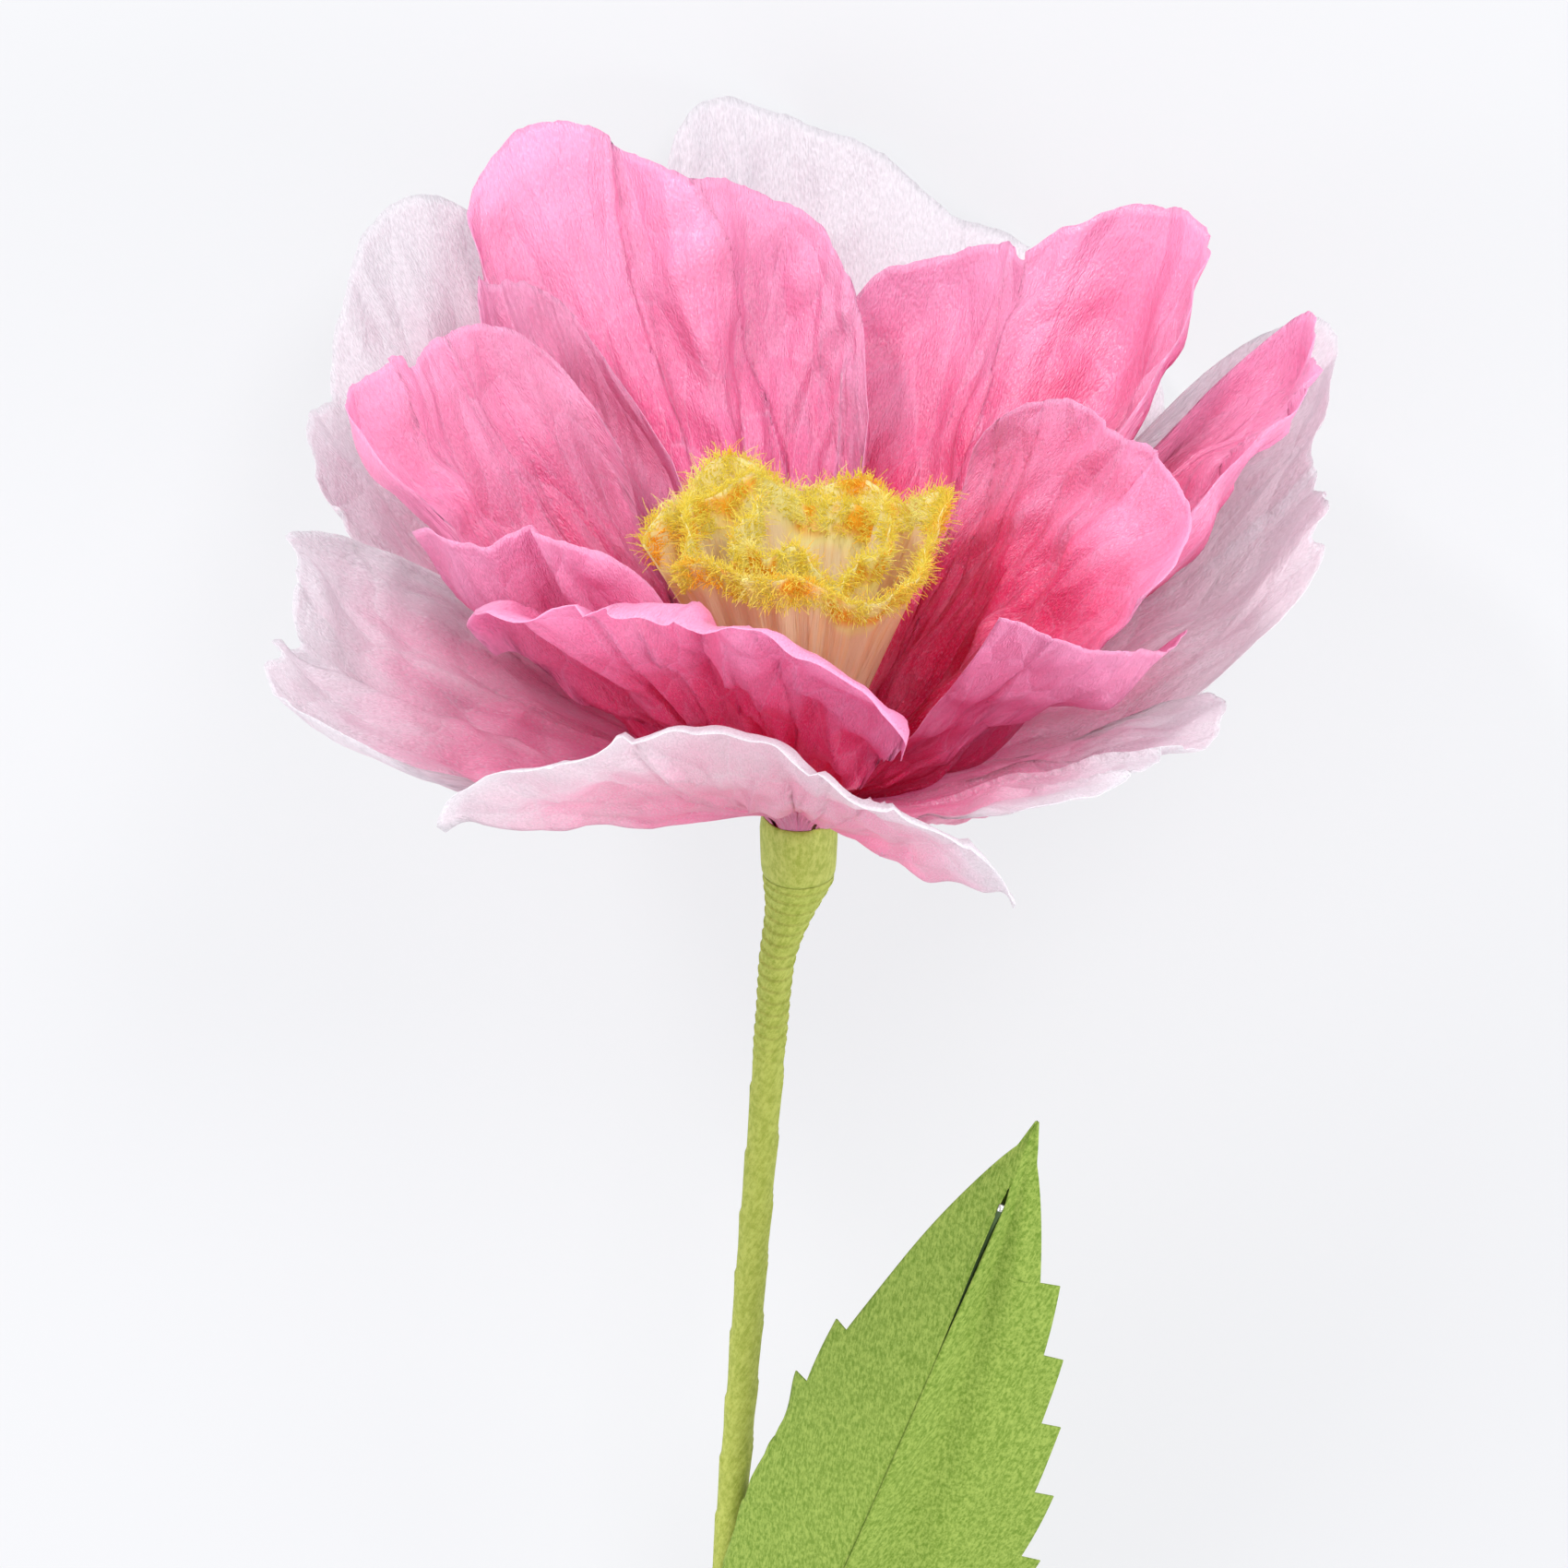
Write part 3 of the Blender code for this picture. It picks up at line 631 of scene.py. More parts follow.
def tissue_group():
    """Dyed tissue on a petal's own map: deep at the foot, streaked along, lighter at the rim, with painted
    highlights on its crumpled facets and along its creases; on the pink petals the deep foot is partly
    painted shade.
    """
    tree, given, out = new_group("tissue_dye_and_painted_light", [
        ("Foot", "colour", PINK_FOOT_DYE_AND_SHADE), ("Body", "colour", PINK), ("Rim", "colour", PINK_RIM),
        ("Foot Reach", "value", 0.3), ("Shift", "value", 0.0), ("Layer Edge", "value", 0.95)],
        [("Colour", "colour"), ("Height", "value")])
    uv = add(tree, "ShaderNodeTexCoord").outputs["UV"]
    offset = add(tree, "ShaderNodeCombineXYZ", {axis: given["Shift"] for axis in "XYZ"})
    here = add(tree, "ShaderNodeVectorMath", {0: uv, 1: offset.outputs[0]}, operation="ADD").outputs[0]
    along = add(tree, "ShaderNodeSeparateXYZ", {0: uv}).outputs["Y"]
    streaks = map_noise(tree, here, 26, 2.4, 3.0)
    blotch = map_noise(tree, here, 6, 6, 3.0, 0.5)
    wash = map_noise(tree, here, 11, 6, 3.0, 0.65, 4.0)
    fleck = map_noise(tree, here, 420, 120, 1.0, 0.7, 2.0)
    fibre = map_noise(tree, here, 260, 110, 1.0, 0.7)
    ridges, painted_facet_light = ridge(tree, here, (9, 5, 1), 0.6)
    small, glint = ridge(tree, here, (24, 11, 1), 0.8)

    # the deep colour climbs unevenly from the foot: dye, on the pink petals partly painted shade
    uneven = maths(tree, "MULTIPLY_ADD", streaks, 0.12, -0.06)
    uneven = maths(tree, "ADD", uneven, maths(tree, "MULTIPLY_ADD", blotch, 0.18, -0.09))
    reach = maths(tree, "ADD", along, uneven)
    low = maths(tree, "MULTIPLY", given["Foot Reach"], 0.22)
    high = maths(tree, "MULTIPLY", given["Foot Reach"], 1.9)
    share = span(tree, reach, low, high)
    body = blend(tree, share, given["Foot"], given["Body"])

    # then all that is paler is laid over it, one mask after another: paler dye and paper, and painted
    # highlights along the creases and on crumpled facets
    start = maths(tree, "MULTIPLY_ADD", given["Foot Reach"], 0.6, 0.22)
    wobble = maths(tree, "MULTIPLY_ADD", map_noise(tree, here, 9, 0, 2.0, 0.5), 0.05, -0.025)
    layer = maths(tree, "SUBTRACT", maths(tree, "ADD", along, wobble), given["Layer Edge"])
    single = add(tree, "ShaderNodeMapRange", {"Value": layer, "From Min": -0.002, "From Max": 0.002})
    # painted highlights: whole crumpled facets made lighter as if they caught the light, with sharper
    # glints on smaller ones
    patch = maths(tree, "MULTIPLY", painted_facet_light, 0.26)
    patch = maths(tree, "MULTIPLY_ADD", span(tree, glint, 0.72, 0.74), 0.24, patch)
    paler = [
        (span(tree, reach, start, 1.08), 0.85),
        (span(tree, blotch, 0.48, 0.70), 0.12),
        (span(tree, wash, 0.5, 0.62), 0.10),
        (single.outputs[0], 0.35),
        (span(tree, along, 0.985, 0.995), 0.7),
        (span(tree, fleck, 0.56, 0.68), 0.40),
        # lighter lines along the creases, partly the whitening of creased paper and partly painted
        # highlight on the ridges
        (span(tree, ridges, 0.04, 0.0), maths(tree, "MULTIPLY", share, 0.36)),
        (patch, share),
    ]
    for mask, strength in paler:
        body = blend(tree, maths(tree, "MULTIPLY", mask, strength), body, given["Rim"])
    shade = maths(tree, "MULTIPLY_ADD", fibre, 0.28, 0.85)
    grey = add(tree, "ShaderNodeCombineColor", {0: shade, 1: shade, 2: shade}).outputs[0]
    tree.links.new(blend(tree, 1.0, body, grey, "MULTIPLY"), out["Colour"])
    relief = maths(tree, "MULTIPLY_ADD", ridges, 1.2, maths(tree, "MULTIPLY", small, 0.20))
    tree.links.new(maths(tree, "ADD", relief, maths(tree, "MULTIPLY", fibre, 0.15)), out["Height"])
    return tree


def ridge(tree, vector, stretch, warp):
    """Sharp crumples in a bent cell pattern: distance to the nearest edge, and a value for each cell."""
    moved = add(tree, "ShaderNodeMapping", {"Vector": vector, "Scale": stretch})
    push = add(tree, "ShaderNodeTexNoise", {"Vector": moved.outputs[0], "Scale": 0.6, "Detail": 1.0},
               noise_dimensions="2D")
    push = add(tree, "ShaderNodeVectorMath", {0: push.outputs["Color"], "Scale": warp}, operation="SCALE")
    bent = add(tree, "ShaderNodeVectorMath", {0: moved.outputs[0], 1: push.outputs[0]}, operation="ADD")
    cells = add(tree, "ShaderNodeTexVoronoi", {"Vector": bent.outputs[0], "Scale": 1.0},
                feature="DISTANCE_TO_EDGE", voronoi_dimensions="2D")
    flat = add(tree, "ShaderNodeTexVoronoi", {"Vector": bent.outputs[0], "Scale": 1.0},
               voronoi_dimensions="2D")
    each = add(tree, "ShaderNodeSeparateColor", {0: flat.outputs["Color"]}).outputs[0]
    return cells.outputs["Distance"], each


def bump(tree, height, strength, distance):
    """The normal that a height gives."""
    node = add(tree, "ShaderNodeBump", {"Height": height, "Strength": strength, "Distance": distance})
    return node.outputs[0]


def crepe_group():
    """Crepe paper: fine lengthwise crinkles and cloudy dye, on given coordinates scaled in metres."""
    tree, given, out = new_group("crepe_paper", [
        ("Light", "colour", GREEN_LEAF), ("Dark", "colour", GREEN_LEAF_DARK), ("Grain", "value", 1.0),
        ("Turn", "value", 0.0)], [("Colour", "colour"), ("Height", "value")])
    here = add(tree, "ShaderNodeTexCoord").outputs["Object"]
    turned = add(tree, "ShaderNodeVectorRotate", {"Vector": here, "Angle": given["Turn"]},
                 rotation_type="Z_AXIS")
    scaled = add(tree, "ShaderNodeVectorMath", {0: turned.outputs[0], "Scale": given["Grain"]},
                 operation="SCALE").outputs[0]
    crinkle = noise(tree, scaled, 1.0, 4.0, 0.65, (3300, 560, 3300))
    cloud = noise(tree, scaled, 1700.0, 4.0, 0.75)
    fibre = noise(tree, scaled, 2600.0, 2.0, 0.6)
    mixed = maths(tree, "ADD", maths(tree, "MULTIPLY", crinkle, 0.5), maths(tree, "MULTIPLY", cloud, 0.5))
    tree.links.new(blend(tree, span(tree, mixed, 0.37, 0.63), given["Dark"], given["Light"]), out["Colour"])
    relief = maths(tree, "ADD", crinkle, maths(tree, "MULTIPLY", fibre, 0.4))
    tree.links.new(relief, out["Height"])
    return tree


TISSUE_GROUP = tissue_group()
CREPE_GROUP = crepe_group()


def new_material(name):
    """A new material with its tree, its Principled shader and its output."""
    material = bpy.data.materials.new(name)
    material.use_nodes = True
    tree = material.node_tree
    return material, tree, tree.nodes["Principled BSDF"], tree.nodes["Material Output"]


def let_light_through(tree, shader, output, colour, share, normal=None):
    """Mix in the light that comes through from behind, in the paper's own colour."""
    inputs = {"Color": colour}
    if normal is not None:
        inputs["Normal"] = normal
    glow = add(tree, "ShaderNodeBsdfTranslucent", inputs)
    both = add(tree, "ShaderNodeMixShader", {0: share, 1: shader.outputs[0], 2: glow.outputs[0]})
    tree.links.new(both.outputs[0], output.inputs["Surface"])


def tissue_material(name, paper, shift):
    """Slightly glossy tissue of one petal, pink or pale, that lets some light through; its colour carries
    painted highlights on the crumpled facets.
    """
    foot_body_rim = (PINK_FOOT_DYE_AND_SHADE, PINK, PINK_RIM) if paper == "pink" else (PALE_FOOT, PALE, PALE_RIM)
    material, tree, shader, output = new_material(name + "_dye_and_painted_light")
    dye = add(tree, "ShaderNodeGroup", node_tree=TISSUE_GROUP)
    feed(tree, dye, {label: (*value, 1.0) for label, value in zip(("Foot", "Body", "Rim"), foot_body_rim)})
    feed(tree, dye, {"Foot Reach": FOOT_DYE_AND_SHADE_REACH.get(name, FOOT_DYE_AND_SHADE_REACH[paper]), "Shift": shift})
    colour = dye.outputs["Colour"]
    normal = bump(tree, dye.outputs["Height"], PETAL_RELIEF[paper], 0.0016)
    feed(tree, shader, {"Base Color": colour, "Normal": normal, "Roughness": 0.31,
                        "Specular IOR Level": 0.8})
    let_light_through(tree, shader, output, colour, LIGHT_THROUGH[paper], normal)
    return material


def crepe_material(name):
    """One of the green crepe papers."""
    light, dark, grain, turn, rough, relief = CREPES[name]
    material, tree, shader = new_material(name)[:3]
    paper = add(tree, "ShaderNodeGroup", node_tree=CREPE_GROUP)
    feed(tree, paper, {"Light": (*light, 1.0), "Dark": (*dark, 1.0), "Grain": grain, "Turn": turn})
    normal = bump(tree, paper.outputs["Height"], relief, 0.0005)
    feed(tree, shader, {"Base Color": paper.outputs["Colour"], "Normal": normal, "Roughness": rough,
                        "Specular IOR Level": 0.3})
    return material


def wire_material(name):
    """Drawn steel wire, slightly dull, with lengthwise scratches."""
    material, tree, shader = new_material(name)[:3]
    here = add(tree, "ShaderNodeTexCoord").outputs["Object"]
    scratch = noise(tree, here, 1.0, 4.0, 0.6, (5000, 300, 5000))
    tint = blend(tree, scratch, (*STEEL, 1), (*STEEL_LIGHT, 1))
    rough = maths(tree, "MULTIPLY_ADD", scratch, 0.25, 0.28)
    feed(tree, shader, {"Base Color": tint, "Metallic": 1.0, "Roughness": rough})
    return material


# Petals

def make_petal(spec, order):
    """One crumpled petal with its foot in the band."""
    name, half_span, length = spec[0], spec[3], spec[4]
    paper = "pink" if "pink" in name else "pale"
    cols, rows = PETAL_GRID
    u = np.linspace(-1, 1, cols)
    u = u * (1 - 0.12 * (1 - u * u))
    s = np.linspace(0, 1, rows) ** 1.15
    U, S = np.meshgrid(u, s)
    seed = 40 + 7 * order
    rag = RIM_RAG * waves(U, seed + 3, 7, 1.3) * smooth((S - 0.6) / 0.4)
    for at, wide, share in RIM_SHAPES.get(name, []):
        rag = rag + share * np.exp(-((U - at) / wide) ** 2) * smooth((S - 0.3) / 0.7)
    grid, phi, t = petal_point(spec, U, S, rag)
    width = HEAD * length * MM * math.radians(half_span) * WIDEST
    normal = sheet_normals(grid)
    outward = np.sign(np.mean(np.sum(normal * unit(grid * np.array((1, 1, 0))), axis=-1)))
    relief = crumple(name, PETAL_CRISP[paper], U, S, phi, t, seed, width)
    grid = grid + normal * outward * relief[..., None]
    foot = [np.concatenate([grid[0][:, :2], np.full((cols, 1), depth)], axis=1)
            for depth in (-FOOT_DEPTH, -0.5 * FOOT_DEPTH, -0.6 * MM)]
    grid = np.concatenate([np.array(foot), grid])
    if outward < 0:
        grid = grid[:, ::-1]
        U = U[:, ::-1]
    V = np.concatenate([np.zeros((3, cols)), S])
    U = np.concatenate([U[:1]] * 3 + [U])
    obj = sheet(name + "_tissue", grid, TISSUE, np.stack([0.5 + 0.5 * U, V], axis=-1))
    dress(obj, name, tissue_material(name, paper, 3.7 * order))


# Stamen

def make_stamen():
    """The rolled crepe strip with its vertical grain."""
    a = np.linspace(0, STAMEN_TURNS, STAMEN_GRID)
    h = np.concatenate([[-FOOT_DEPTH, -0.5 * FOOT_DEPTH], np.linspace(0, 0.992, 46)])
    A, H = np.meshgrid(a, h)
    grid = stamen_point(A, H)
    above = smooth(H / 0.3)
    lift = STAMEN_PLEAT * np.sin(A * 2 * math.pi * STAMEN_PLEATS + 2 * np.sin(A * 9)) * above
    lift = lift + 0.10 * MM * waves(A, 5, 6, 9.0) * above
    grid = grid + sheet_normals(grid) * lift[..., None]
    uv = np.stack([A / STAMEN_TURNS, np.maximum(H, 0.0)], axis=-1)
    roll = sheet("stamen_crepe", grid, STAMEN_SHEET, uv)
    dress(roll, "stamen_roll", stamen_material())


def stamen_material():
    """Cream crepe, blushing at the foot and dyed yellow along its ruffled rim."""
    material, tree, shader, output = new_material("stamen_crepe")
    uv = add(tree, "ShaderNodeTexCoord").outputs["UV"]
    along = add(tree, "ShaderNodeSeparateXYZ", {0: uv}).outputs["Y"]
    grain = map_noise(tree, uv, 230, 3, 3.0, 0.65)
    cloud = map_noise(tree, uv, 26, 5, 2.0)
    reach = maths(tree, "ADD", along, maths(tree, "MULTIPLY_ADD", cloud, 0.22, -0.11))
    colour = blend(tree, span(tree, reach, 0.05, 0.50), (*BLUSH, 1), (*CREAM, 1))
    colour = blend(tree, maths(tree, "MULTIPLY", span(tree, grain, 0.45, 0.65), 0.2), colour, (*ORANGE, 1))
    colour = blend(tree, span(tree, reach, 0.84, 0.93), colour, (*YELLOW_PALE, 1))
    drift = maths(tree, "MULTIPLY", span(tree, cloud, 0.50, 0.66), span(tree, along, 0.87, 0.93))
    colour = blend(tree, drift, colour, (*ORANGE, 1))
    feed(tree, shader, {"Base Color": colour, "Normal": bump(tree, grain, 0.9, 0.0006), "Roughness": 0.7})
    let_light_through(tree, shader, output, colour, LIGHT_THROUGH["stamen"])
    return material


# Fibres grown by Geometry Nodes

def fibre_tree():
    """Short bent fibres scattered over a bed, each lying along the bed's own direction with some stray."""
    tree = bpy.data.node_groups.new("scatter_fibres", "GeometryNodeTree")
    sockets = (("Geometry", "NodeSocketGeometry", None), ("Count", "NodeSocketInt", 1000),
               ("Length", "NodeSocketFloat", 0.002), ("Radius", "NodeSocketFloat", 0.00006),
               ("Stray", "NodeSocketFloat", 0.6), ("Seed", "NodeSocketInt", 1),
               ("Material", "NodeSocketMaterial", None))
    for label, kind, start in sockets:
        socket = tree.interface.new_socket(label, in_out="INPUT", socket_type=kind)
        if start is not None:
            socket.default_value = start
    tree.interface.new_socket("Geometry", in_out="OUTPUT", socket_type="NodeSocketGeometry")
    given = tree.nodes.new("NodeGroupInput").outputs
    out = tree.nodes.new("NodeGroupOutput").inputs

    # the count asked for, spread over the whole bed
    area = add(tree, "GeometryNodeAttributeStatistic", {"Geometry": given["Geometry"]}, data_type="FLOAT",
               domain="FACE")
    tree.links.new(add(tree, "GeometryNodeInputMeshFaceArea").outputs[0], area.inputs["Attribute"])
    density = maths(tree, "DIVIDE", given["Count"], area.outputs["Sum"])
    scatter = add(tree, "GeometryNodeDistributePointsOnFaces",
                  {"Mesh": given["Geometry"], "Density": density, "Seed": given["Seed"]})

    # one fibre: a bent spine with a three-sided section
    bend = maths(tree, "MULTIPLY", given["Length"], 0.25)
    knee = add(tree, "ShaderNodeCombineXYZ", {"Z": maths(tree, "MULTIPLY", given["Length"], 0.55)})
    tip = add(tree, "ShaderNodeCombineXYZ", {"X": bend, "Z": given["Length"]})
    spine = add(tree, "GeometryNodeCurveQuadraticBezier",
                {"Resolution": 2, "Start": (0, 0, 0), "Middle": knee.outputs[0], "End": tip.outputs[0]})
    section = add(tree, "GeometryNodeCurvePrimitiveCircle", {"Resolution": 3, "Radius": given["Radius"]})
    fibre = add(tree, "GeometryNodeCurveToMesh",
                {"Curve": spine.outputs[0], "Profile Curve": section.outputs[0], "Fill Caps": False})

    # each lies along the bed's direction with some stray, and is spun about itself; the value sockets
    # of Random Value follow its vector ones, so they are set by index
    stray = add(tree, "FunctionNodeRandomValue",
                {"Min": (-1, -1, -1), "Max": (1, 1, 1), "Seed": given["Seed"]}, data_type="FLOAT_VECTOR")
    amount = add(tree, "ShaderNodeVectorMath", {0: stray.outputs[0], "Scale": given["Stray"]},
                 operation="SCALE")
    lie = add(tree, "GeometryNodeInputNamedAttribute", {"Name": "lie"}, data_type="FLOAT_VECTOR")
    aim = add(tree, "ShaderNodeVectorMath", {0: lie.outputs[0], 1: amount.outputs[0]}, operation="ADD")
    turn = add(tree, "FunctionNodeAlignRotationToVector", {"Vector": aim.outputs[0]}, axis="Z")
    spin = add(tree, "FunctionNodeRandomValue", {3: 6.283, "Seed": given["Seed"]}, data_type="FLOAT")
    about = add(tree, "FunctionNodeAxisAngleToRotation", {"Axis": (0, 0, 1), "Angle": spin.outputs[1]})
    pose = add(tree, "FunctionNodeRotateRotation", {0: turn.outputs[0], 1: about.outputs[0]},
               rotation_space="LOCAL")
    size = add(tree, "FunctionNodeRandomValue", {2: 0.45, 3: 1.0, "Seed": given["Seed"]},
               data_type="FLOAT")
    planted = add(tree, "GeometryNodeInstanceOnPoints",
                  {"Points": scatter.outputs["Points"], "Instance": fibre.outputs[0],
                   "Rotation": pose.outputs[0], "Scale": size.outputs[1]})
    real = add(tree, "GeometryNodeRealizeInstances", {"Geometry": planted.outputs[0]})
    painted = add(tree, "GeometryNodeSetMaterial",
                  {"Geometry": real.outputs[0], "Material": given["Material"]})
    tree.links.new(painted.outputs[0], out["Geometry"])
    return tree


def grow_fibres(name, bed, lie, material, count, length, radius, stray, seed):
    """Plain mesh of fibres grown on a bed; the bed is removed."""
    layer = bed.data.attributes.new("lie", "FLOAT_VECTOR", "POINT")
    layer.data.foreach_set("vector", (np.asarray(lie).reshape(-1, 3) @ POSE.T).astype(np.float32).ravel())
    modifier = bed.modifiers.new("fibres", "NODES")
    modifier.node_group = FIBRE_TREE
    values = {"Count": count, "Length": length, "Radius": radius, "Stray": stray, "Seed": seed,
              "Material": material}
    for item in FIBRE_TREE.interface.items_tree:
        if item.item_type == "SOCKET" and item.in_out == "INPUT" and item.name in values:
            modifier[item.identifier] = values[item.name]
    view = bpy.context.evaluated_depsgraph_get()
    mesh = bpy.data.meshes.new_from_object(bed.evaluated_get(view))
    bpy.data.objects.remove(bed)
    mesh.name = name
    obj = put(name, mesh)
    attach(obj, "root")
    return obj


FIBRE_TREE = fibre_tree()


def make_fringe(name, low, count, length, thick, stray, seed):
    """Yellow fuzz along both faces of the roll's ruffled rim, from a ragged lower edge to the rim."""
    share = np.linspace(0.0, 1.0, 6)
    A, H = np.meshgrid(np.linspace(0, STAMEN_TURNS, STAMEN_GRID), share)
    ragged = low + 0.025 * waves(A, 31, 5, 3.0)
    grid = stamen_point(A, ragged + (1 - ragged) * H)
    rise = unit(np.gradient(grid, axis=0))
    normal = sheet_normals(grid)
    rows, cols = A.shape
    off = normal * FUZZ_BED
    points = np.vstack([(grid + off).reshape(-1, 3), (grid - off).reshape(-1, 3)])
    faces = grid_faces(rows, cols) + grid_faces(rows, cols, rows * cols, True)
    bed = add_mesh(name + "_bed", points, faces, None, False)
    top = share[:, None, None] ** 2
    lean = rise * (0.35 + 0.9 * top)
    side = normal * (0.9 - 0.55 * top)
    lie = np.vstack([(lean + side).reshape(-1, 3), (lean - side).reshape(-1, 3)])
    fringe = grow_fibres(name, bed, lie, FRINGE_DYE_AND_GLOW, count, length, thick, stray, seed)


def fringe_material():
    """Fringe dyed yellow to orange in drifts, with a faint painted glow that stands in for light bounced
    within the pile.
    """
    material, tree, shader, output = new_material("fringe_dye_and_glow")
    here = add(tree, "ShaderNodeTexCoord").outputs["Object"]
    drift = noise(tree, here, 130.0, 3.0, 0.6)
    fine = noise(tree, here, 1500.0, 2.0, 0.6)
    mixed = maths(tree, "ADD", maths(tree, "MULTIPLY", drift, 0.75), maths(tree, "MULTIPLY", fine, 0.25))
    colour = blend(tree, span(tree, mixed, 0.34, 0.50), (*YELLOW_PALE, 1), (*YELLOW, 1))
    colour = blend(tree, span(tree, mixed, 0.52, 0.66), colour, (*ORANGE, 1))
    # painted glow: the fibres give out a little of their own colour as light
    feed(tree, shader, {"Base Color": colour, "Emission Color": colour, "Emission Strength": 0.14,
                        "Roughness": 0.8})
    let_light_through(tree, shader, output, colour, LIGHT_THROUGH["fringe"])
    return material


FRINGE_DYE_AND_GLOW = fringe_material()


# Stem

def make_tape():
    """Tape wound down the stem: close slanting turns on the taper, long ones below."""
    sides = 40
    end = STEM_LENGTH - TAPE_SHORT
    near = np.arange(NECK, TAPE_FINE, 0.16 * MM)
    far = np.arange(TAPE_FINE, end - 0.4 * MM, 0.8 * MM)
    depths = np.concatenate([near, far, [end]])
    turn = round_angles(sides) / (2 * math.pi)
    slant = TAPE_SLANT * np.sin(round_angles(sides) - 0.6)
    rough = np.random.default_rng(3).uniform(-1, 1, (len(depths), sides))
    outer = []
    for k, depth in enumerate(depths):
        close = 1 - eased((depth - TAPE_CHANGE) / (8 * MM))
        turn_near = ((depth + slant - NECK) / WIND + turn) % 1.0
        turn_far = ((depth + 2.5 * slant) / WIND_LONG + turn) % 1.0
        ledge = close * TAPE_LEDGE[0] * (1 - turn_near) ** 1.2
        ledge = ledge + (1 - close) * TAPE_LEDGE[1] * (1 - turn_far) ** 2
        ease = smooth((depth - NECK) / (1 * MM)) * smooth((end - depth) / (1 * MM))
        lump = 0.06 * MM * waves(turn + depth * 30, 8, 4, 1.0) * smooth((depth - NECK) / (6 * MM))
        radius = tape_radius(depth) + ease * (ledge + 0.012 * MM * rough[k]) + lump
        outer.append(ring_at(stem_centre(depth), radius, sides))
    inner = [ring_at(stem_centre(d), WIRE_R + 0.12 * MM, sides) for d in
             np.concatenate([np.linspace(NECK, 40 * MM, 12), np.linspace(60 * MM, end, 14)])]
    tape = sleeve("stem_wrap", outer, inner)
    dress(tape, "stem_tape", crepe_material("tape_crepe"))


def make_band():
    """Smooth band round the gathered feet, with faint gathers and an uneven upper edge."""
    sides = 72
    turn = round_angles(sides) / (2 * math.pi)
    outer = []
    for depth, r in BAND_PROFILE:
        gathers = 0.05 * MM * waves(turn + 0.01 * depth, 21, 5, 3.0)
        ring = ring_at((0, 0, -depth * MM), BAND_R + r * MM + gathers, sides)
        ring[:, 2] += 0.25 * MM * waves(turn, 22, 3, 2.0) * max(0.0, 1 - depth / 3)
        outer.append(ring)
    inner = [ring_at((0, 0, -d * MM), RING_R[2] + r * MM, sides) for d, r in BAND_BORE]
    band = sleeve("calyx_wrap", outer, inner)
    dress(band, "calyx_band", crepe_material("band_crepe"))


def make_stem_wire():
    """Round wire with a cleanly cut end."""
    straight = [-2 * MM, NECK] + list(np.linspace(NECK + 5 * MM, STEM_LENGTH - 0.3 * MM, 40))
    steps = [(d, 0.0) for d in straight] + [(STEM_LENGTH - 0.1 * MM, 0.05 * MM), (STEM_LENGTH, 0.25 * MM)]
    rings = [ring_at(stem_centre(depth), WIRE_R - less, 28) for depth, less in steps]
    wire = tube("stem_wire_round", rings)
    dress(wire, "stem_wire", wire_material("stem_steel"))


# Leaf

def leaf_frame():
    """Origin on the stem's front, the midrib's direction and the blade's front."""
    base = stem_centre(LEAF_JOIN) + np.array((0.0, -(STEM_R + GAP + LEAF_WIRE_R), 0.0))
    up = unit(np.array(LEAF_AIM))
    front = np.array((0.0, -1.0, 0.0))
    front = unit(front - up * float(front @ up))
    return base, up, front


def leaf_half(v, k, toothed=True):
    """Width of half k at v from the base to the tip, with teeth that point to the tip."""
    half = LEAF_HALF * math.sin(math.pi * min(1.0, 1.02 * v) ** 0.72) ** 0.8 * eased(0.1 + v / 0.1)
    if not toothed:
        return half * LEAF_SHARE[k]
    if TOOTH_FIRST <= v < TOOTH_LAST[k]:
        half -= LEAF_TOOTH * (1.0 - (v - TOOTH_FIRST) / TOOTH_STEP % 1.0)
    elif v >= TOOTH_LAST[k]:
        half -= LEAF_TOOTH * (1.0 - v) / (1.0 - TOOTH_LAST[k])
    if v > 0.9:
        half = max(half, 0.12 * MM + 0.34 * (1.0 - v) * LEAF_LENGTH)
    return half * LEAF_SHARE[k]


def leaf_bow(v):
    """How far the midrib arches toward the front."""
    return LEAF_ARCH * math.sin(math.pi * v)


def leaf_levels():
    """Places along the blade, with a close pair at each tooth's step."""
    levels = list(np.linspace(0.055, 0.999, 230))
    k = 0
    while TOOTH_FIRST + TOOTH_STEP * k < max(TOOTH_LAST) + 1e-6:
        v = TOOTH_FIRST + TOOTH_STEP * k
        levels = [x for x in levels if abs(x - v) > 0.002] + [v - 0.0008, v + 0.0008]
        k += 1
    return sorted(levels)


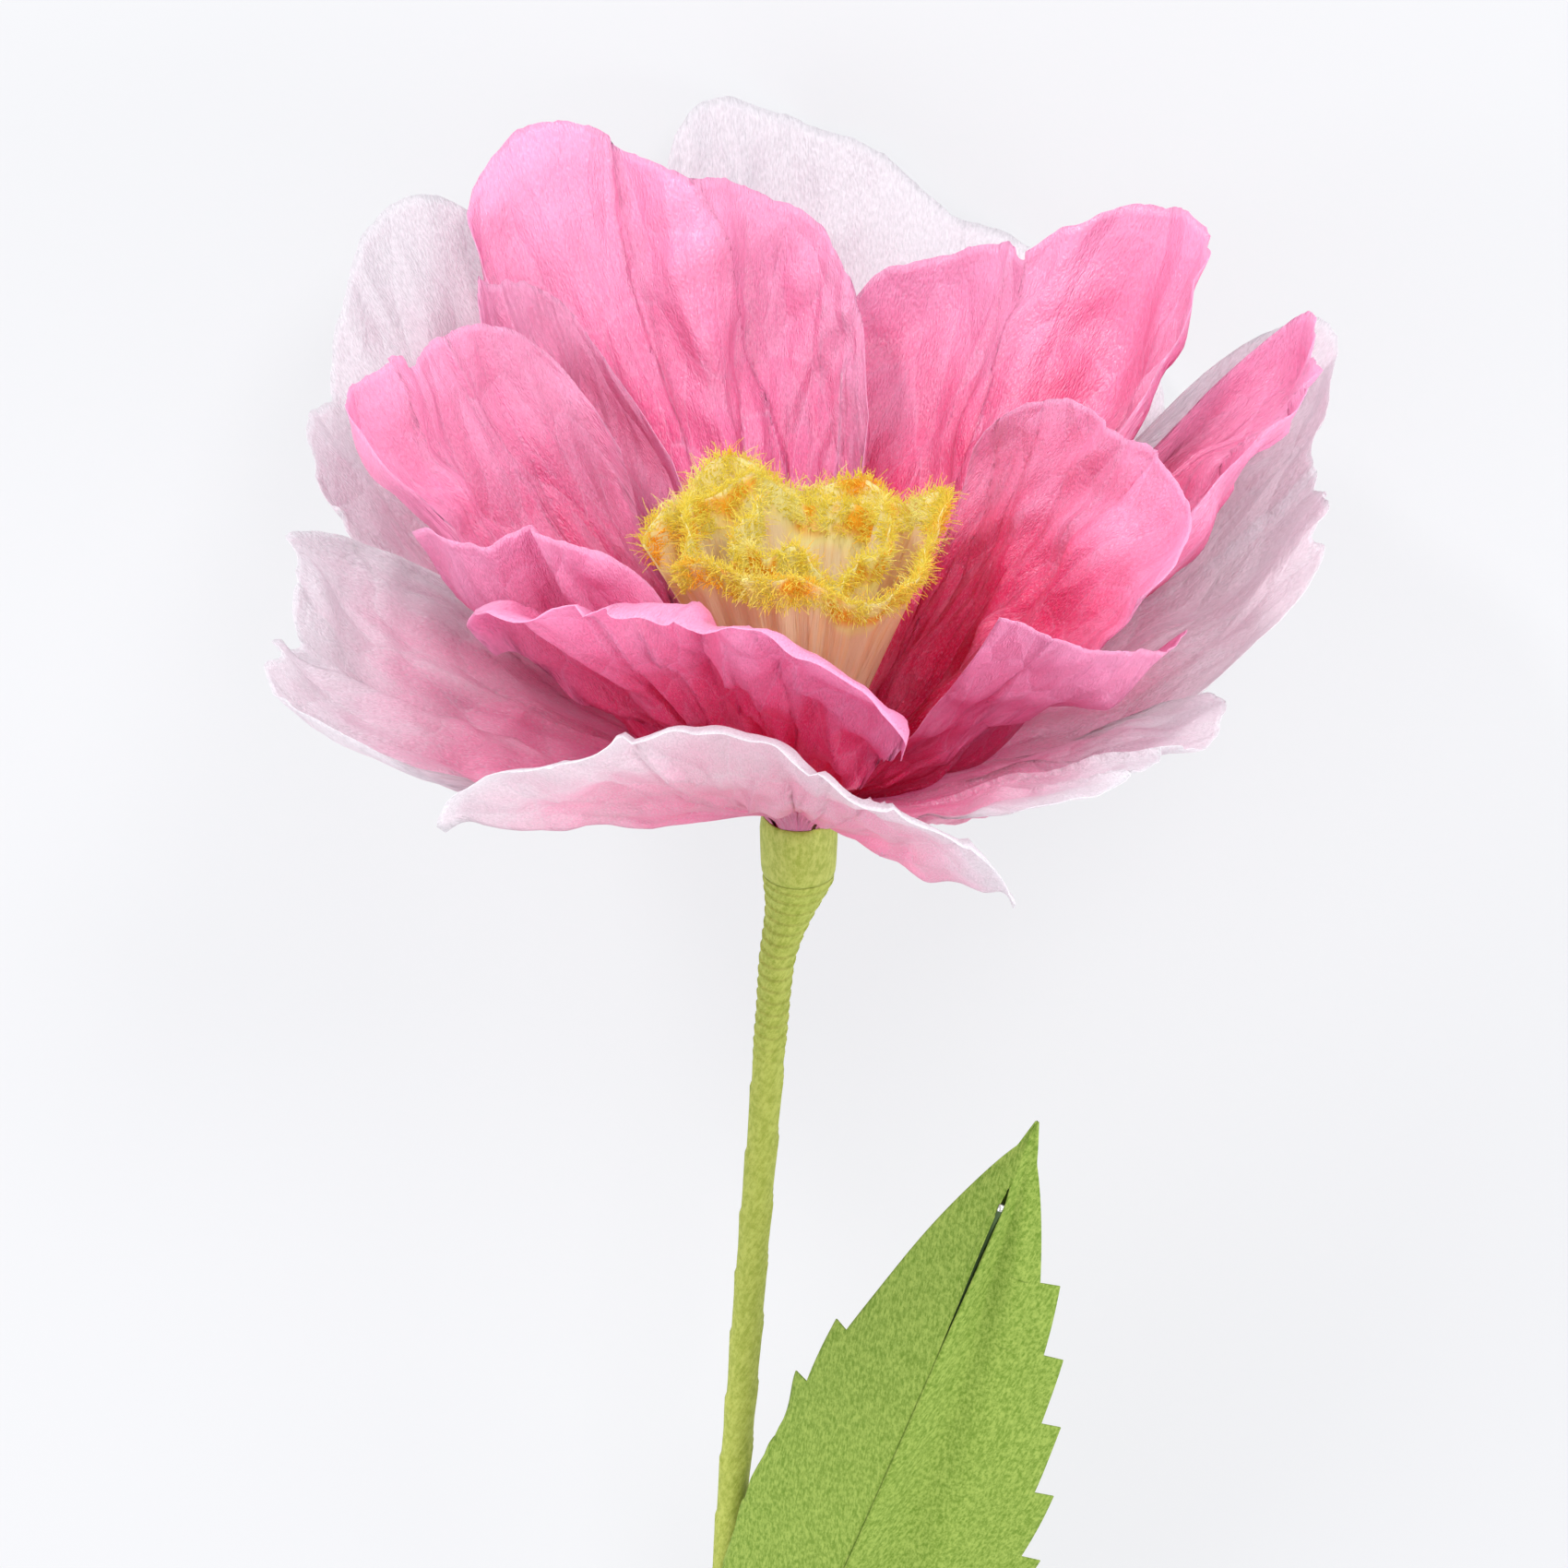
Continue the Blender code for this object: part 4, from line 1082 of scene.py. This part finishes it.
def leaf_side(v, j, centre, right, front, slit):
    """Points of half j of the blade at v, from the rib to its margin; the left one rolls back."""
    side, fold = (-1, 1)[j], LEAF_FOLD[j]
    wide = leaf_half(v, j)
    plain = max(wide, leaf_half(v, j, False))
    out = right * side * math.cos(fold) - front * math.sin(fold)
    back = -right * side * math.sin(fold) - front * math.cos(fold)
    rolled = LEAF_ROLL[0] - (LEAF_ROLL[0] - LEAF_ROLL[1]) * eased((0.50 - v) / 0.25)
    rolling = eased((0.574 - v) / 0.10) * (1 - j)
    points = []
    for f in np.linspace(0.0, 1.0, 26)[1:]:
        reach = slit + (wide - slit) * f
        g = reach / plain
        sag = LEAF_SAG[j] * g * g * math.sin(math.pi * v)
        if j == 1:
            sag += LEAF_VALLEY * math.exp(-((g - 0.26) / 0.14) ** 2) * eased(plain / (16 * MM))
        sag += 0.25 * MM * math.sin(31 * v + 5 * g + 2 * j) * g
        over = max(0.0, reach - rolled * plain) * rolling
        points.append(centre + out * (reach - 0.8 * over) + back * (sag + 1.1 * over))
    return points


def leaf_rib(centre, right, front, slit, closed):
    """Points of the fold that holds the wire, from left to right."""
    deep = 0.25 * MM + (TROUGH_DEEP - 0.25 * MM) * closed
    belly = TROUGH * closed
    wall = [(0.0, 0.0), (0.12, 0.1), (0.3, 0.75), (0.7, 0.8)]
    near = [centre - right * (slit + y * belly) - front * x * deep for x, y in wall]
    far = [centre + right * (slit + y * belly) - front * x * deep for x, y in wall[::-1]]
    return near + [centre - front * deep] + far


def make_leaf():
    """Crepe blade: folded along its wire, a soft valley beside the rib, a rolled margin and cut teeth."""
    base, up, front = leaf_frame()
    right = np.cross(up, front)
    levels = leaf_levels()
    rows = []
    for v in levels:
        centre = base + up * LEAF_LENGTH * v + front * leaf_bow(v)
        slit = (0.02 + 0.36 * (eased((v - 0.70) / 0.16) * eased((0.93 - v) / 0.03))) * MM
        left, far = [leaf_side(v, j, centre, right, front, slit) for j in (0, 1)]
        rib = leaf_rib(centre, right, front, slit, eased((0.955 - v) / 0.05))
        rows.append(left[::-1] + rib + far)
    grid = np.array(rows)[:, ::-1]
    uv = np.stack(np.meshgrid(np.linspace(0, 1, grid.shape[1]), np.array(levels)), axis=-1)
    blade = sheet("leaf_crepe", grid, LEAF_SHEET, uv)
    dress(blade, "leaf_blade", leaf_material())


def leaf_material():
    """Leaf crepe with light coming through."""
    material = crepe_material("leaf_paper")
    tree = material.node_tree
    shader = tree.nodes["Principled BSDF"]
    colour = shader.inputs["Base Color"].links[0].from_socket
    let_light_through(tree, shader, tree.nodes["Material Output"], colour, LIGHT_THROUGH["leaf"])
    return material


def make_leaf_wire():
    """Thin wire from the tie on the stem up the leaf's trough, its cut end bare."""
    base, up, front = leaf_frame()
    away = STEM_R + GAP + LEAF_WIRE_R
    points = [stem_centre(LEAF_JOIN + d * MM) + np.array((0.0, -away, 0.0)) for d in (18, 9, 0)]
    for v in list(np.linspace(0.04, 0.893, 30)) + [0.9]:
        sunk = WIRE_SUNK * eased(v / 0.12) - 0.9 * MM * eased((v - 0.84) / 0.06)
        points.append(base + up * LEAF_LENGTH * v + front * (leaf_bow(v) - sunk))
    sides = 14
    rings = []
    for k, p in enumerate(points):
        ahead = unit(points[min(k + 1, len(points) - 1)] - points[max(k - 1, 0)])
        side = unit(np.cross(ahead, front))
        rings.append(ring_at(p, LEAF_WIRE_R, sides, (side, np.cross(side, ahead))))
    wire = tube("leaf_wire_round", rings)
    # all but the cut end is in the dark paper, partly painted shade of the trough; only the cut end shows
    # steel
    dress(wire, "leaf_wire", paper_and_trough_shade_material(), wire_material("leaf_steel"))
    covered = sides * (len(rings) - 2)
    bare = [int(k >= covered) for k in range(len(wire.data.polygons))]
    wire.data.polygons.foreach_set("material_index", bare)


def paper_and_trough_shade_material():
    """Dark green paper wound on the thin wire; its near-black tone is partly the paper's own and partly
    painted shade of the trough it lies in.
    """
    material, tree, shader = new_material("wire_paper_and_trough_shade")[:3]
    feed(tree, shader, {"Base Color": (*WIRE_PAPER_AND_TROUGH_SHADE, 1.0), "Roughness": 0.8})
    return material


def make_leaf_tie():
    """Short wrap that binds the leaf's wire to the stem, its turns showing as ledges."""
    away = STEM_R + GAP + LEAF_WIRE_R
    sides = 48
    angle = round_angles(sides)
    off = np.arctan2(np.sin(angle + math.pi / 2), np.cos(angle + math.pi / 2))
    bump = (away + LEAF_WIRE_R - STEM_R) * np.exp(-(off / 0.42) ** 4)
    radius = STEM_R + 0.1 * MM + bump + GAP
    depths = np.linspace(LEAF_JOIN + TIE_SPAN[0], LEAF_JOIN + TIE_SPAN[1], 90)
    outer = []
    for depth in depths:
        turn = ((depth - LEAF_JOIN) / TIE_WIND + angle / (2 * math.pi)) % 1.0
        outer.append(ring_at(stem_centre(depth), radius + 0.28 * MM + 0.2 * MM * (1 - turn), sides))
    inner = [ring_at(stem_centre(d), radius, sides) for d in [*depths[::12], depths[-1]]]
    tie = sleeve("leaf_tie_wrap", outer, inner)
    dress(tie, "leaf_tie", crepe_material("tie_crepe"))


# Stage

def seen_straight(tree):
    """1 for rays that should see the backdrop's own colour: from the camera, a reflection or glass."""
    path = add(tree, "ShaderNodeLightPath").outputs
    seen = maths(tree, "MAXIMUM", path["Is Camera Ray"], path["Is Transmission Ray"])
    return maths(tree, "MAXIMUM", seen, path["Is Glossy Ray"])


def make_stage():
    """Pale floor, mostly the backdrop's own colour to the camera, that keeps a soft shadow."""
    mesh = bpy.data.meshes.new("floor")
    corners = [(-FLOOR, -FLOOR, 0), (FLOOR, -FLOOR, 0), (FLOOR, FLOOR, 0), (-FLOOR, FLOOR, 0)]
    mesh.from_pydata(corners, [], [(0, 1, 2, 3)])
    put("floor", mesh)
    material, tree, shader, output = new_material("floor")
    feed(tree, shader, {"Base Color": (*FLOOR_PAINT, 1), "Roughness": 0.9})
    plain = add(tree, "ShaderNodeEmission", {"Color": (*BACKDROP, 1), "Strength": 1.0})
    share = maths(tree, "MULTIPLY", seen_straight(tree), 1 - SHADOW_SHARE)
    both = add(tree, "ShaderNodeMixShader", {0: share, 1: shader.outputs[0], 2: plain.outputs[0]})
    tree.links.new(both.outputs[0], output.inputs["Surface"])
    mesh.materials.append(material)


def make_world():
    """Even soft surround; the camera sees the backdrop's colour."""
    world = bpy.data.worlds.new("studio")
    bpy.context.scene.world = world
    world.use_nodes = True
    tree = world.node_tree
    tree.nodes.clear()
    around = add(tree, "ShaderNodeBackground", {"Color": (*SURROUND, 1), "Strength": SURROUND_LEVEL})
    seen = add(tree, "ShaderNodeBackground", {"Color": (*BACKDROP, 1), "Strength": 1.0})
    share = seen_straight(tree)
    both = add(tree, "ShaderNodeMixShader", {0: share, 1: around.outputs[0], 2: seen.outputs[0]})
    out = add(tree, "ShaderNodeOutputWorld")
    tree.links.new(both.outputs[0], out.inputs["Surface"])


# Camera and lights

VIEW = np.array((0.0, -math.cos(CAMERA_TILT), math.sin(CAMERA_TILT)))
VIEW_UP = np.array((0.0, math.sin(CAMERA_TILT), math.cos(CAMERA_TILT)))
VIEW_RIGHT = np.array((1.0, 0.0, 0.0))


def aim(obj, place_at, look, up):
    """Set an object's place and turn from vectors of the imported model's frame: it looks along look."""
    back = unit(-np.asarray(look, dtype=float))
    side = unit(np.cross(up, back))
    top = np.cross(back, side)
    turn = np.eye(4)
    turn[:3, 0], turn[:3, 1], turn[:3, 2], turn[:3, 3] = side, top, back, place_at
    obj.matrix_world = Matrix(turn.tolist())


def make_camera():
    """The photograph's view: one metre off, 28 degrees above the flower's own horizon."""
    data = bpy.data.cameras.new("camera")
    data.lens = LENS
    data.sensor_width = 36.0
    camera = put("camera", data)
    spot = VIEW_RIGHT * CAMERA_OFF[0] + VIEW_UP * CAMERA_OFF[1] + VIEW * CAMERA_OFF[2]
    aim(camera, place(spot), -(POSE @ VIEW), POSE @ VIEW_UP)
    bpy.context.scene.camera = camera


def soft_light(name, across, height, toward, size, power):
    """An area light placed by the camera's right, up and forward, aimed at the head."""
    data = bpy.data.lights.new(name, "AREA")
    data.shape = "DISK"
    data.size = size
    data.energy = power
    light = put(name, data)
    target = place(np.array((0.0, 0.0, 0.03)))
    spot = target + POSE @ (VIEW_RIGHT * across + VIEW_UP * height + VIEW * toward)
    aim(light, spot, target - spot, np.array((0.0, 1.0, 0.0)))


# The picture and the flower

make_camera()
make_stage()
make_world()
for light in LIGHTS:
    soft_light(*light)
for order, spec in enumerate(PETALS):
    make_petal(spec, order)
make_stamen()
for fringe in FRINGES:
    make_fringe(*fringe)
make_band()
make_tape()
make_stem_wire()
make_leaf()
make_leaf_wire()
make_leaf_tie()
bpy.context.scene.view_settings.view_transform = "Standard"
